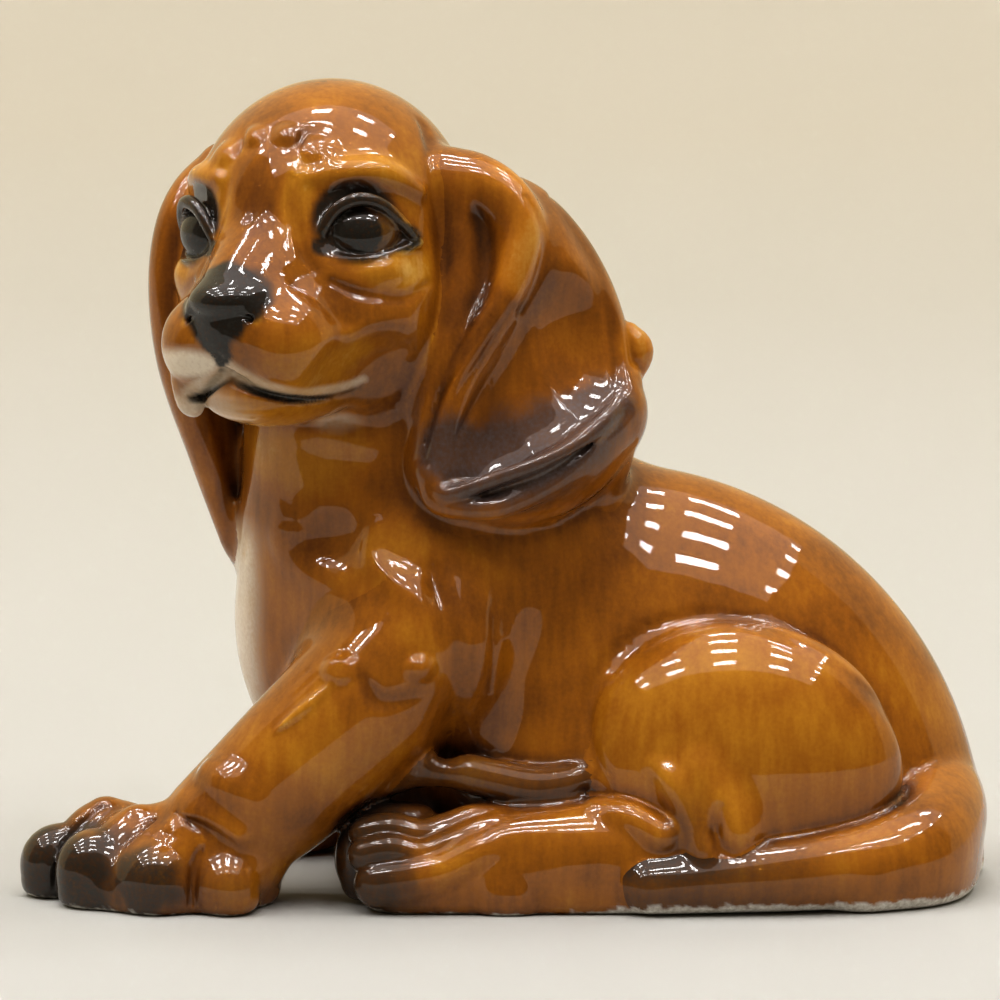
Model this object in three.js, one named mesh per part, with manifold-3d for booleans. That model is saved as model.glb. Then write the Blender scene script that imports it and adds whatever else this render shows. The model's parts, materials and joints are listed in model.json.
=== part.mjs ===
// A glazed ceramic dachshund puppy lying down with its head turned to its left.
// It is slip cast: each casting is a thin-walled shell or a small solid, and the castings
// are stuck together with slip before firing. Millimetres, +Z up, +X towards the tail,
// -Y is the dog's left side, and the origin is under the middle of the bounding box.
import * as THREE from "three";
import { mergeVertices } from "three/addons/utils/BufferGeometryUtils.js";
import Module from "manifold-3d";

const wasm = await Module();
wasm.setup();

// Driving dimensions.
const WALL = 3.5; // thickness of a slip-cast wall
const JOINT = 0.3; // slip joint between two castings
const LEG_CORE = 6; // radius of the drained core of a foreleg
const TRUNK = { centre: [17, 0, 3], front: 40, rear: 65.5, half_width: 31, height: 67 };
const SKULL = { centre: [-28, -8, 111], half_width: 23, half_length: 25, half_height: 24.5 };
const HEAD_TURN = THREE.MathUtils.degToRad(27); // from facing straight along -Y, towards -X
const HEAD_ROLL = THREE.MathUtils.degToRad(3); // left side of the head up
const NECK_CUT = { point: [-19, -3, 88], normal: [-0.35, -0.1, 0.93] };
const BIG = 400; // side of the blocks that trim with a flat face

// Facets of the round shapes.
const FINE = [20, 14];
const MEDIUM = [14, 10];
const SMALL = [10, 7];
const LIMB_SIDES = 12;
const TOE_SIDES = 8;
const STEPS = 2; // rings of a limb between two of its stations

// ---------- making and joining solids ----------

function solidOf(geometry) {
  const bare = new THREE.BufferGeometry();
  const plain = geometry.index ? geometry.toNonIndexed() : geometry;
  bare.setAttribute("position", plain.getAttribute("position"));
  const merged = mergeVertices(bare, 1e-4);
  return new wasm.Manifold(
    new wasm.Mesh({
      numProp: 3,
      vertProperties: merged.getAttribute("position").array,
      triVerts: new Uint32Array(merged.index.array),
    }),
  );
}

function geometryOf(solid) {
  const { numProp, numVert, vertProperties, triVerts } = solid.getMesh();
  const points = new Float32Array(numVert * 3);
  for (let i = 0; i < numVert; i++) {
    points.set(vertProperties.subarray(i * numProp, i * numProp + 3), i * 3);
  }
  const geometry = new THREE.BufferGeometry();
  geometry.setAttribute("position", new THREE.BufferAttribute(points, 3));
  geometry.setIndex(new THREE.BufferAttribute(new Uint32Array(triVerts), 1));
  geometry.computeVertexNormals();
  return geometry;
}

const join = (solids) => solids.reduce((sum, next) => sum.add(next));
const cutAll = (solid, cutters) => cutters.reduce((rest, next) => rest.subtract(next), solid);

// The widest body of a solid that a cut may have left in crumbs.
function largest(solid) {
  return solid.decompose().reduce((a, b) => (b.volume() > a.volume() ? b : a));
}

// ---------- head frame: left, forward and up of the dog's own head ----------

const HEAD_POSE = new THREE.Matrix4().makeBasis(
  new THREE.Vector3(Math.cos(HEAD_TURN), -Math.sin(HEAD_TURN), 0),
  new THREE.Vector3(-Math.sin(HEAD_TURN), -Math.cos(HEAD_TURN), 0),
  new THREE.Vector3(0, 0, 1),
);

// The head's basis is left-handed (left, forward, up), so the roll turns about forward.
function inHead([left, forward, up]) {
  const l = left * Math.cos(HEAD_ROLL) - up * Math.sin(HEAD_ROLL);
  const u = left * Math.sin(HEAD_ROLL) + up * Math.cos(HEAD_ROLL);
  const centre = new THREE.Vector3(...SKULL.centre);
  return new THREE.Vector3(l, forward, u).applyMatrix4(HEAD_POSE).add(centre).toArray();
}

// ---------- shapes ----------

// An egg: a sphere with its own radius on each side. reach is [-x, +x, -y, +y, -z, +z].
function egg(centre, reach, grow = 0, facets = MEDIUM, tilt = [0, 0, 0], place = null) {
  const geometry = new THREE.SphereGeometry(1, ...facets);
  const turn = new THREE.Euler(...tilt.map(THREE.MathUtils.degToRad));
  const p = geometry.getAttribute("position");
  for (let i = 0; i < p.count; i++) {
    const unit = [p.getX(i), p.getY(i), p.getZ(i)];
    const local = unit.map((c, k) => c * (reach[c > 0 ? 2 * k + 1 : 2 * k] + grow));
    const v = new THREE.Vector3(...local).applyEuler(turn).add(new THREE.Vector3(...centre));
    p.setXYZ(i, ...(place ? place(v.toArray()) : v.toArray()));
  }
  const solid = solidOf(geometry);
  return solid.volume() < 0 ? flipped(geometry) : solid;
}

// A placing that mirrors turns the faces inwards, so each triangle is turned round.
function flipped(geometry) {
  const plain = geometry.toNonIndexed();
  const p = plain.getAttribute("position");
  for (let i = 0; i < p.count; i += 3) {
    const second = [p.getX(i + 1), p.getY(i + 1), p.getZ(i + 1)];
    p.setXYZ(i + 1, p.getX(i + 2), p.getY(i + 2), p.getZ(i + 2));
    p.setXYZ(i + 2, ...second);
  }
  return solidOf(plain);
}

const even = (x, y, z) => [x, x, y, y, z, z];

// A limb: a round-ended tube of changing radius along a smooth curve.
// stations are [x, y, z, radius], or [x, y, z, wide, thin] with wide measured along wideAxis.
function limb(stations, grow = 0, place = null, wideAxis = null, sides = LIMB_SIDES) {
  const centres = stations.map((s) => new THREE.Vector3(...(place ? place(s) : s)));
  const curve = new THREE.CatmullRomCurve3(centres, false, "centripetal");
  const steps = STEPS * (stations.length - 1);
  const capRings = 3;
  const profile = [new THREE.Vector2(0, -1)];
  for (let i = 1; i < capRings; i++) {
    const a = (i / capRings) * (Math.PI / 2);
    profile.push(new THREE.Vector2(Math.sin(a), -Math.cos(a)));
  }
  for (let i = 0; i <= steps; i++) profile.push(new THREE.Vector2(1, i));
  for (let i = capRings - 1; i > 0; i--) {
    const a = (i / capRings) * (Math.PI / 2);
    profile.push(new THREE.Vector2(Math.sin(a), steps + Math.cos(a)));
  }
  profile.push(new THREE.Vector2(0, steps + 1));
  const geometry = new THREE.LatheGeometry(profile, sides);
  bend(geometry, curve, steps, radiusAlong(stations, grow), wideAxis);
  const solid = solidOf(geometry);
  return solid.volume() < 0 ? flipped(geometry) : solid;
}

// Wide and thin radius at a share t of the way along the stations.
function radiusAlong(stations, grow) {
  return (t) => {
    const at = t * (stations.length - 1);
    const i = Math.min(Math.floor(at), stations.length - 2);
    const mix = at - i;
    const ease = mix * mix * (3 - 2 * mix);
    const [from, to] = [stations[i], stations[i + 1]];
    const radius = (k) => THREE.MathUtils.lerp(from[k] ?? from[3], to[k] ?? to[3], ease);
    return [radius(3) + grow, radius(4) + grow];
  };
}

// Lays a lathe of unit radius, with y from -1 to steps + 1, along the curve.
function bend(geometry, curve, steps, radii, wideAxis) {
  const p = geometry.getAttribute("position");
  const wide = new THREE.Vector3(...(wideAxis ?? [0.13, 0.97, 0.21]));
  for (let i = 0; i < p.count; i++) {
    const along = p.getY(i);
    const t = THREE.MathUtils.clamp(along / steps, 0, 1);
    const [a, b] = radii(t);
    const tangent = curve.getTangent(t);
    const side = wide.clone().addScaledVector(tangent, -wide.dot(tangent)).normalize();
    const other = new THREE.Vector3().crossVectors(tangent, side);
    const over = Math.min(along, 0) + Math.max(along - steps, 0);
    const v = curve
      .getPoint(t)
      .addScaledVector(side, p.getX(i) * a)
      .addScaledVector(other, p.getZ(i) * b)
      .addScaledVector(tangent, over * Math.min(a, b));
    p.setXYZ(i, v.x, v.y, v.z);
  }
}

// Half space on the normal's side of a plane, moved along the normal.
function halfSpace(point, normal, shift = 0) {
  const n = new THREE.Vector3(...normal).normalize();
  const box = new THREE.BoxGeometry(BIG, BIG, BIG);
  box.translate(0, 0, BIG / 2 + shift);
  box.applyQuaternion(new THREE.Quaternion().setFromUnitVectors(new THREE.Vector3(0, 0, 1), n));
  box.translate(...point);
  return solidOf(box);
}

const aboveTable = (solid) => solid.intersect(halfSpace([0, 0, 0], [0, 0, 1]));
const mirrorY = (stations) => stations.map(([x, y, ...rest]) => [x, -y, ...rest]);

// ---------- the dog's forms, each grown or shrunk by a distance ----------

const NECK = [
  [-4, 0, 58, 26],
  [-13, -1, 76, 23],
  [-20, -3, 90, 20.5],
  [-25, -6, 103, 19],
];

// Muzzle and jaw, in the head's own left, forward and up.
const MUZZLE = [
  [0, 10, -9, 14],
  [0, 22, -12, 11.5],
  [0, 29, -13.5, 10],
];
const JAW = [
  [0, 4, -18, 12],
  [0, 20, -22, 8],
  [0, 27, -23.5, 6.5],
];

function trunkForm(grow) {
  const { centre, front, rear, half_width, height } = TRUNK;
  return egg(centre, [front, rear, half_width, half_width, height, height], grow, FINE);
}

function chestForm(grow) {
  return egg([-16, 0, 44], even(29, 25, 34), grow);
}

function shouldersForm(grow) {
  const left = egg([-13, -17, 46], even(17, 15, 22), grow, MEDIUM, [0, -18, 0]);
  const right = egg([-13, 17, 46], even(17, 15, 22), grow, MEDIUM, [0, -18, 0]);
  return left.add(right);
}

function bodyForm(grow) {
  return join([trunkForm(grow), chestForm(grow), shouldersForm(grow), limb(NECK, grow)]);
}

function skullForm(grow) {
  const { half_width, half_length, half_height } = SKULL;
  const reach = even(half_width, half_length, half_height);
  return egg([0, 0, 0], reach, grow, MEDIUM, [0, 0, 0], inHead);
}

function headForm(grow) {
  const at = (left, forward, up, reach, facets = MEDIUM) =>
    egg([left, forward, up], reach, grow, facets, [0, 0, 0], inHead);
  const forms = [
    skullForm(grow),
    limb(MUZZLE, grow, inHead),
    limb(JAW, grow, inHead),
    at(0, 34.5, -10, even(8, 4.5, 6.5), SMALL), // nose
  ];
  for (const side of [-1, 1]) {
    forms.push(at(side * 12, 9, -12, even(11, 13, 12))); // cheek
    forms.push(at(side * 6.5, 26, -16, even(8, 9, 6.5), SMALL)); // upper lip
    forms.push(at(side * 15, 18, 1.5, even(7, 6.5, 6.5), SMALL)); // eye
    forms.push(at(side * 8.5, 18.5, 12.5, even(4.5, 4, 3.5), SMALL)); // brow
  }
  return join(forms);
}

function leftEarForm(grow) {
  const frontRoll = [
    [-8, -17, 119.5, 3.5],
    [0, -20, 119, 3.5],
    [5, -22, 114, 3.5],
    [5.5, -24, 107, 3.5],
    [1, -27, 96, 3.5],
    [-7, -28, 86, 3.5],
    [-11, -28, 77, 4],
  ];
  const lowerRoll = [
    [-11, -28, 77, 4],
    [-10, -28, 69, 4.5],
    [-3, -28, 65.5, 4.5],
    [8, -27, 68.5, 4.5],
    [17, -22, 76, 4.5],
    [21, -15, 88, 4.5],
  ];
  return join([
    egg([6, -12, 93], [17, 15, 12, 12, 31, 28], grow, MEDIUM, [0, -18, 0]),
    egg([1, -16, 78], even(14, 11, 13), grow),
    limb(frontRoll, grow),
    limb(lowerRoll, grow),
  ]);
}

function rightEarForm(grow) {
  const lobe = [
    [-48, 3, 116, 8, 5],
    [-52, 4, 106, 12, 5],
    [-51.5, 4, 92, 13, 5.5],
    [-47, 4, 76, 12, 6],
    [-43.5, 3, 61, 8.5, 5.5],
  ];
  const forward = [-Math.sin(HEAD_TURN), -Math.cos(HEAD_TURN), 0];
  return limb(lobe, grow, null, forward);
}

// One paw: a pad under the foot and four toes fanned from their knuckles.
function pawForm(pad, toes, grow) {
  return join([
    egg(pad.centre, pad.reach, grow),
    ...toes.map((toe) => limb(toe, grow, null, null, TOE_SIDES)),
  ]);
}

const LEFT_FORELEG = [
  [-13, -23, 43, 14],
  [-25, -26, 31, 13],
  [-37, -27, 19.5, 12],
  [-46, -27, 12, 10.5],
];
const LEFT_FORE_PAD = { centre: [-56, -28, 4], reach: even(18, 12, 13) };
const LEFT_FORE_TOES = [
  [[-60, -20, 10, 6.5], [-68, -20, 8, 6.2], [-74, -20, 5.5, 5.5]],
  [[-56, -26, 11, 6.5], [-65, -29, 8, 6.2], [-71, -31, 5.5, 5.5]],
  [[-50, -31, 11, 6.5], [-56, -35, 8, 6], [-60, -38, 5, 5.2]],
  [[-43, -32, 9, 6], [-45, -36, 7, 5.5], [-46, -38, 5, 5]],
];

const RIGHT_FORELEG = [
  [-12, 20, 38, 13],
  [-16, 22, 24, 11.5],
  [-26, 21, 12, 10],
  [-38, 19, 8.5, 8.5],
];
const RIGHT_FORE_PAD = { centre: [-42, 19, 4], reach: even(12, 10, 10) };
const RIGHT_FORE_TOES = [-6.5, -2.2, 2.2, 6.5].map((across) => [
  [-44, 19 + across, 7.5, 4.5],
  [-49 + Math.abs(across) / 3, 19 + across * 1.15, 6, 4.2],
  [-52 + Math.abs(across) / 3, 19 + across * 1.2, 4.2, 3.8],
]);

const THIGH = { centre: [39, -20, 21], reach: even(28, 17.5, 25.5) };
const LEFT_FOOT = [
  [30, -30, 9, 8.5],
  [16, -31, 9.5, 8.5],
  [0, -31, 8.5, 8.5],
  [-12, -31, 8.5, 8.5],
];
const LEFT_HIND_TOES = [
  [[-8, -27, 12.5, 4], [-15, -27, 12.5, 4.5], [-21, -27, 10.5, 4.5]],
  [[-8, -33, 11, 4], [-15, -33.5, 10, 4.5], [-22, -33, 8, 4.5]],
  [[-6, -34, 6, 4.5], [-14, -35, 5, 4.5], [-20, -34, 4.5, 4.5]],
];
const HOCK = [
  [33, -33, 22, 5],
  [38, -35, 14, 5],
  [35, -34, 8, 5.5],
];

const TAIL = [
  [68, 8, 15, 10],
  [72.5, -4, 12.5, 10],
  [70.5, -15, 10.5, 9.5],
  [62, -26, 9, 8.5],
  [50, -32.5, 7.5, 7.2],
  [37, -35.5, 5.5, 6],
  [25, -37, 4.5, 5.2],
];

function forelegForm(stations, pad, toes, grow) {
  return limb(stations, grow).add(pawForm(pad, toes, grow));
}

function hindLegForm(side, grow) {
  const onSide = side < 0 ? (stations) => stations : mirrorY;
  const [x, y, z] = THIGH.centre;
  return join([
    egg([x, -side * y, z], THIGH.reach, grow),
    limb(onSide(LEFT_FOOT), grow),
    limb(onSide(HOCK), grow),
    ...LEFT_HIND_TOES.map((toe) => limb(onSide(toe), grow, null, null, TOE_SIDES)),
  ]);
}

// ---------- the castings ----------

function bodyCasting() {
  const cavity = join([trunkForm(-WALL), chestForm(-WALL), limb(NECK, -WALL)]);
  const belowCut = halfSpace(NECK_CUT.point, NECK_CUT.normal.map((c) => -c), JOINT / 2);
  return largest(aboveTable(bodyForm(0).intersect(belowCut)).subtract(cavity));
}

function headCasting() {
  const outer = headForm(0).add(limb(NECK));
  const cavity = join([skullForm(-WALL), limb(MUZZLE, -WALL, inHead), limb(NECK, -WALL)]);
  const aboveCut = halfSpace(NECK_CUT.point, NECK_CUT.normal, JOINT / 2);
  return largest(outer.intersect(aboveCut).subtract(cavity));
}

const bodyRoom = bodyForm(JOINT);
const headRoom = headForm(JOINT);

const leftForelegRoom = forelegForm(LEFT_FORELEG, LEFT_FORE_PAD, LEFT_FORE_TOES, JOINT);
const rightForelegRoom = forelegForm(RIGHT_FORELEG, RIGHT_FORE_PAD, RIGHT_FORE_TOES, JOINT);

// A foreleg has a drained core from the shoulder to the wrist, open where it meets the body.
function forelegCasting(stations, pad, toes) {
  const core = limb(stations.slice(0, 3).map(([x, y, z]) => [x, y, z, LEG_CORE]));
  const whole = aboveTable(forelegForm(stations, pad, toes, 0));
  return largest(cutAll(whole, [bodyRoom, core]));
}

// A hind leg is one solid casting: a thin cap of thigh against the body, hock and foot.
function hindLegCasting(side) {
  const foreleg = side < 0 ? leftForelegRoom : rightForelegRoom;
  return largest(cutAll(aboveTable(hindLegForm(side, 0)), [bodyRoom, foreleg]));
}

function tailCasting() {
  return largest(cutAll(aboveTable(limb(TAIL)), [bodyRoom, hindLegForm(-1, JOINT)]));
}

function earCasting(form) {
  return largest(cutAll(form(0), [headRoom, bodyRoom]));
}

// ---------- materials and the assembly ----------

const glaze = (name, color) =>
  new THREE.MeshStandardMaterial({ name, color, roughness: 0.12, metalness: 0 });
const caramel = glaze("caramel_glaze", 0x9a5312);
const darkCaramel = glaze("dark_caramel_glaze", 0x6e3a0e);
const smoked = glaze("smoked_glaze", 0x4a2f1a);

const castings = new THREE.Group();

function place(name, solid, material) {
  const mesh = new THREE.Mesh(geometryOf(solid), material);
  mesh.name = name;
  castings.add(mesh);
}

place("body_casting", bodyCasting(), caramel);
place("head_casting", headCasting(), caramel);
place("left_ear", earCasting(leftEarForm), darkCaramel);
place("right_ear", earCasting(rightEarForm), darkCaramel);
place("left_foreleg", forelegCasting(LEFT_FORELEG, LEFT_FORE_PAD, LEFT_FORE_TOES), caramel);
place("right_foreleg", forelegCasting(RIGHT_FORELEG, RIGHT_FORE_PAD, RIGHT_FORE_TOES), caramel);
place("left_hind_leg", hindLegCasting(-1), caramel);
place("right_hind_leg", hindLegCasting(1), caramel);
place("tail", tailCasting(), smoked);

// The part's origin is the middle of its bounding box, on the table.
const box = new THREE.Box3().setFromObject(castings);
const middle = box.getCenter(new THREE.Vector3());
castings.position.set(-middle.x, -middle.y, 0);

const figurine = new THREE.Group();
figurine.add(castings);
export default figurine;
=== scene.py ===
# A glazed ceramic dachshund puppy: the looks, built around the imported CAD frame.
# The dog is sculpted as distance fields in millimetres, with the dog's own origin, and each
# slip-cast piece is meshed from the same sculpture, so neighbouring pieces share their joint line.
import json
import math

import bpy
import numpy as np
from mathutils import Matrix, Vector

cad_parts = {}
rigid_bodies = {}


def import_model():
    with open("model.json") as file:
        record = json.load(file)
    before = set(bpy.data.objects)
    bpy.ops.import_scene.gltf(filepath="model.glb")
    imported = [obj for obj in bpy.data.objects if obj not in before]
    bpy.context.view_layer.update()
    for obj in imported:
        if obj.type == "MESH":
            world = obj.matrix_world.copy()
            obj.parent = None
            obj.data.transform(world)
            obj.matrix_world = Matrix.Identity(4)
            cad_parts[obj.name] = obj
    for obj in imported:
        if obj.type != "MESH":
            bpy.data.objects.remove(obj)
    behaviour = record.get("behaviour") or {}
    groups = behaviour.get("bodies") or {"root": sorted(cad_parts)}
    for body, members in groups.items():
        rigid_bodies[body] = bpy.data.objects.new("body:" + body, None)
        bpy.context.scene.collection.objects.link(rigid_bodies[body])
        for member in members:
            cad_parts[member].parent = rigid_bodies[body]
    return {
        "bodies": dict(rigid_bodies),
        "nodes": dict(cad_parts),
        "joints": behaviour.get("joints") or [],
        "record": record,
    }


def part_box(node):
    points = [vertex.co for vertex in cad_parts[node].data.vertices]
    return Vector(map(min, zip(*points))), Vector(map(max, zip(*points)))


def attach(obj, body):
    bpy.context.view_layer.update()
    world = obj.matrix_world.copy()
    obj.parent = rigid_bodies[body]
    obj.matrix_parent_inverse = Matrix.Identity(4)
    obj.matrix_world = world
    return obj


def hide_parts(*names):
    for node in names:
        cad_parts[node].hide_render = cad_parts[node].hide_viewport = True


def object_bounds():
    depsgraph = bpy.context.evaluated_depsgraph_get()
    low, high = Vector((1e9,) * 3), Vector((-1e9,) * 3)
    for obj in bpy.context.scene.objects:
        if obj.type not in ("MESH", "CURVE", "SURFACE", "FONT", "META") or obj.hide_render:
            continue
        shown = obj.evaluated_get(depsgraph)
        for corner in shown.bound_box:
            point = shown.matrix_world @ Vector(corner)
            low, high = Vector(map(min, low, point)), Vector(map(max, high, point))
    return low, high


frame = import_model()
cad_low, cad_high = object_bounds()

MM = 0.001  # metres in a millimetre
CELL_SCALE = 1.0

# The dog's own origin: its rump ends at RUMP along X, and its body is even about the XZ plane.
RUMP = 82.5
body_low, body_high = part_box("body_casting")
DOG_ORIGIN = np.array([
    cad_high.x / MM - RUMP,
    (body_low.y + body_high.y) / 2 / MM,
    cad_low.z / MM,
])

# ======================================================================================
# Sculpting kit
# ======================================================================================

FAR = 40.0  # distance given to points that no form reaches, mm
REACH = 3.0  # a form this much further off than its fillet can't change the surface, mm
LAP = 0.7  # how far a casting runs on under its neighbour, mm
LAP_SLOPE = 0.2  # how far it sinks there, per mm
PIECES = [
    "body", "head", "left_foreleg", "right_foreleg", "left_hind_leg", "right_hind_leg",
    "left_ear", "right_ear", "tail",
]  # where two overlap, the earlier one owns the space
UPRIGHT = np.eye(3)


def turned(x=0.0, y=0.0, z=0.0):
    """Rows of the local axes of a form turned by these angles, in degrees, about x, y, z."""
    cx, cy, cz = (math.cos(math.radians(a)) for a in (x, y, z))
    sx, sy, sz = (math.sin(math.radians(a)) for a in (x, y, z))
    rx = np.array([[1, 0, 0], [0, cx, -sx], [0, sx, cx]])
    ry = np.array([[cy, 0, sy], [0, 1, 0], [-sy, 0, cy]])
    rz = np.array([[cz, -sz, 0], [sz, cz, 0], [0, 0, 1]])
    return (rz @ ry @ rx).T


def curve(stations, steps):
    """Points on the smooth curve through the stations. All their numbers are smoothed alike."""
    s = np.array(stations, float)
    p = np.vstack([2 * s[0] - s[1], s, 2 * s[-1] - s[-2]])
    points = []
    for i in range(1, len(p) - 2):
        a, b, c, d = p[i - 1:i + 3]
        for t in np.arange(steps) / steps:
            points.append(
                b + 0.5 * t * (c - a + t * (2 * a - 5 * b + 4 * c - d + t * (3 * (b - c) + d - a)))
            )
    points.append(p[-2])
    return np.array(points)


def blob(points, centre, reach, axes):
    """How far out points are in an egg, as a share: 1 on its surface, and the local offsets."""
    low, high = reach[0::2], reach[1::2]
    q = (points - centre) @ axes.T
    r = np.where(q > 0, high, low)
    return q, r


def six(reach):
    """One radius for each side, -x +x -y +y -z +z, from three or six of them."""
    reach = np.array(reach, float)
    return np.repeat(reach, 2) if len(reach) == 3 else reach


class Egg:
    """A ball with its own radius on each side."""

    def __init__(self, centre, reach, axes=UPRIGHT):
        self.centre, self.reach, self.axes = np.array(centre, float), six(reach), axes
        span = np.abs(axes.T) @ np.maximum(self.reach[0::2], self.reach[1::2])
        self.low, self.high = self.centre - span, self.centre + span

    def __call__(self, points):
        q, r = blob(points, self.centre, self.reach, self.axes)
        k0 = np.linalg.norm(q / r, axis=1)
        k1 = np.linalg.norm(q / (r * r), axis=1)
        return k0 * (k0 - 1) / np.maximum(k1, 1e-9)

    def share(self, points):
        q, r = blob(points, self.centre, self.reach, self.axes)
        return np.linalg.norm(q / r, axis=1)


class Limb:
    """A round-ended rod of changing radius along a smooth curve of [x, y, z, radius].
    flat = (axis, factor) makes its section that many times thinner along the axis."""

    def __init__(self, stations, flat=None, piece_length=0.9):
        knots = np.array(stations, float)[:, :3]
        longest = np.linalg.norm(np.diff(knots, axis=0), axis=1).max()
        line = curve(stations, max(3, math.ceil(longest / piece_length)))
        self.squeeze = UPRIGHT
        if flat:
            axis = np.array(flat[0], float)
            axis /= np.linalg.norm(axis)
            self.squeeze = UPRIGHT + (flat[1] - 1) * np.outer(axis, axis)
        widest = line[:, 3].max()
        self.low = line[:, :3].min(0) - widest
        self.high = line[:, :3].max(0) + widest
        self.start = line[:-1, :3] @ self.squeeze
        self.along = np.diff(line[:, :3] @ self.squeeze, axis=0)
        self.length2 = np.maximum((self.along ** 2).sum(1), 1e-9)
        self.radius, self.taper = line[:-1, 3], np.diff(line[:, 3])
        self.widest = widest

    def nearest(self, points, by_surface=True):
        """Offset from the nearest point of the curve, its length, and the radius there."""
        points = points @ self.squeeze
        middle = (points.min(0) + points.max(0)) / 2
        spread = np.linalg.norm(points.max(0) - points.min(0)) / 2
        t = np.clip(((middle - self.start) * self.along).sum(1) / self.length2, 0, 1)
        gap = np.linalg.norm(middle - self.start - self.along * t[:, None], axis=1)
        if by_surface:
            gap = gap - self.radius - self.taper * t
        near = np.flatnonzero(gap <= gap.min() + 2 * spread + 0.5)
        start, along = self.start[near], self.along[near]
        offset = points[:, None, :] - start[None]
        t = np.clip(np.einsum("nmk,mk->nm", offset, along) / self.length2[near], 0, 1)
        offset = offset - t[:, :, None] * along[None]
        length = np.sqrt(np.einsum("nmk,nmk->nm", offset, offset))
        radius = self.radius[near] + self.taper[near] * t
        best = (length - radius if by_surface else length).argmin(1)
        rows = np.arange(len(points))
        return offset[rows, best], length[rows, best], radius[rows, best]

    def __call__(self, points):
        offset, length, radius = self.nearest(points)
        slope = np.linalg.norm(offset @ self.squeeze, axis=1) / np.maximum(length, 1e-6)
        return (length - radius) / np.maximum(slope, 0.5)

    def share(self, points):
        """Distance from the curve, as a share of the radius, and the radius's own share."""
        _, length, radius = self.nearest(points, by_surface=False)
        return length / np.maximum(radius, 1e-3), radius / self.widest


def melt(a, b, width):
    """The union of two distances, with a fillet of this width."""
    h = np.maximum(width - np.abs(a - b), 0) / width
    return np.minimum(a, b) - h * h * width / 4


STEPS = []  # the sculpture, in the order it is built up: (verb, form, owner, amount)


def add(owner, form, fillet):
    STEPS.append(("add", form, owner, fillet))


def rod(owner, stations, fillet, flat=None):
    add(owner, Limb(stations, flat), fillet)


def neck(stations, fillet):
    """A rod that the neck's joint divides between the body and the head."""
    STEPS.append(("neck", Limb(stations), None, fillet))


def cut(form, fillet):
    STEPS.append(("cut", form, None, fillet))


def leave_hollow(form, fillet):
    STEPS.append(("hollow", form, None, fillet))


def long_limb(stations, through):
    """A rod whose section is three times as long along `through`, if that is given."""
    return Limb(stations, (through, 0.33) if through is not None else None)


def groove(stations, depth, through=None):
    """A soft groove along a curve of [x, y, z, width]. A negative depth makes a ridge. It
    works on the surface nearest the curve, up to three widths away along `through`."""
    form = long_limb(stations, through)
    spread = 0.6 * form.widest * np.ones(3)
    if through is not None:
        spread += 3 * form.widest * np.abs(through)
    form.low, form.high = form.low - spread, form.high + spread
    STEPS.append(("groove", form, None, depth))


def dent(centre, reach, depth, axes=UPRIGHT):
    """A soft round hollow. A negative depth makes a swelling."""
    STEPS.append(("dent", Egg(centre, reach, axes), None, depth))


def plane_above(points, plane):
    point, normal = plane
    return (points - point) @ normal


def measure(points):
    """At points that lie close together: distance to the whole dog, to each piece's own
    forms, and to the hollow inside. Only forms near the points are worked out."""
    low, high = points.min(0), points.max(0)
    whole = np.full(len(points), FAR)
    own = np.full((len(PIECES), len(points)), FAR)
    hollow = np.full(len(points), FAR)
    for index in np.flatnonzero(near_forms(low, high)):
        verb, form, owner, amount = STEPS[index]
        if verb == "add":
            d = form(points)
            whole = melt(whole, d, amount)
            i = PIECES.index(owner)
            own[i] = np.minimum(own[i], d)
        elif verb == "neck":
            d = form(points)
            whole = melt(whole, d, amount)
            up = plane_above(points, NECK_JOINT)
            own[0] = np.minimum(own[0], np.maximum(d, up) + np.maximum(up, 0))
            own[1] = np.minimum(own[1], np.maximum(d, -up) + np.maximum(-up, 0))
        elif verb == "hollow":
            hollow = melt(hollow, form(points), amount)
        elif verb == "cut":
            whole = -melt(-whole, form(points), amount)
        elif verb == "groove":
            share, size = form.share(points)
            whole = whole + amount * size * np.exp(-share * share * 2.5)
        elif verb == "dent":
            share = np.minimum(form.share(points), 1)
            whole = whole + amount * (1 - share * share) ** 2
    whole = -melt(-whole, points[:, 2], BASE_ROUNDING)
    return whole, own, hollow


def near_forms(low, high):
    gap = np.maximum(FORM_LOW - high, low - FORM_HIGH).max(1)
    return gap < FORM_REACH


def fields(points, piece):
    """Distances whose greatest is the distance to one piece: the outside, the joint with the
    other pieces, and the hollow turned inside out. Past its joint line a piece runs on for
    LAP, sinking under its neighbour, so the luted joint has no crack. The fourth is the
    outside of the whole dog, which the normals follow."""
    whole, own, hollow = measure(points)
    claim = own.copy()
    for i in range(1, len(PIECES)):
        claim[i] = np.maximum(own[i], -own[:i].min(0))
    mine = PIECES.index(piece)
    rest = np.delete(claim, mine, axis=0).min(0)
    joint = (claim[mine] - rest) / 2
    outside = whole + LAP_SLOPE * np.clip(joint, 0, 2 * LAP)
    return np.stack([outside, joint - LAP, -hollow, whole])


def in_chunks(points, function, size):
    """Works a function out for scattered points, one small cube of space at a time."""
    key = np.floor((points - points.min(0)) / size).astype(np.int64)
    key = key[:, 0] * 1000000 + key[:, 1] * 1000 + key[:, 2]
    order = np.argsort(key, kind="stable")
    parts = np.split(order, np.flatnonzero(np.diff(key[order])) + 1)
    results = [function(points[part]) for part in parts]
    joined = np.concatenate(results, axis=-1)
    back = np.empty(len(points), int)
    back[order] = np.arange(len(points))
    return joined[..., back]


SPREAD = np.array([[1, 1, 1], [1, -1, -1], [-1, 1, -1], [-1, -1, 1]]) / math.sqrt(3)


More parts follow.
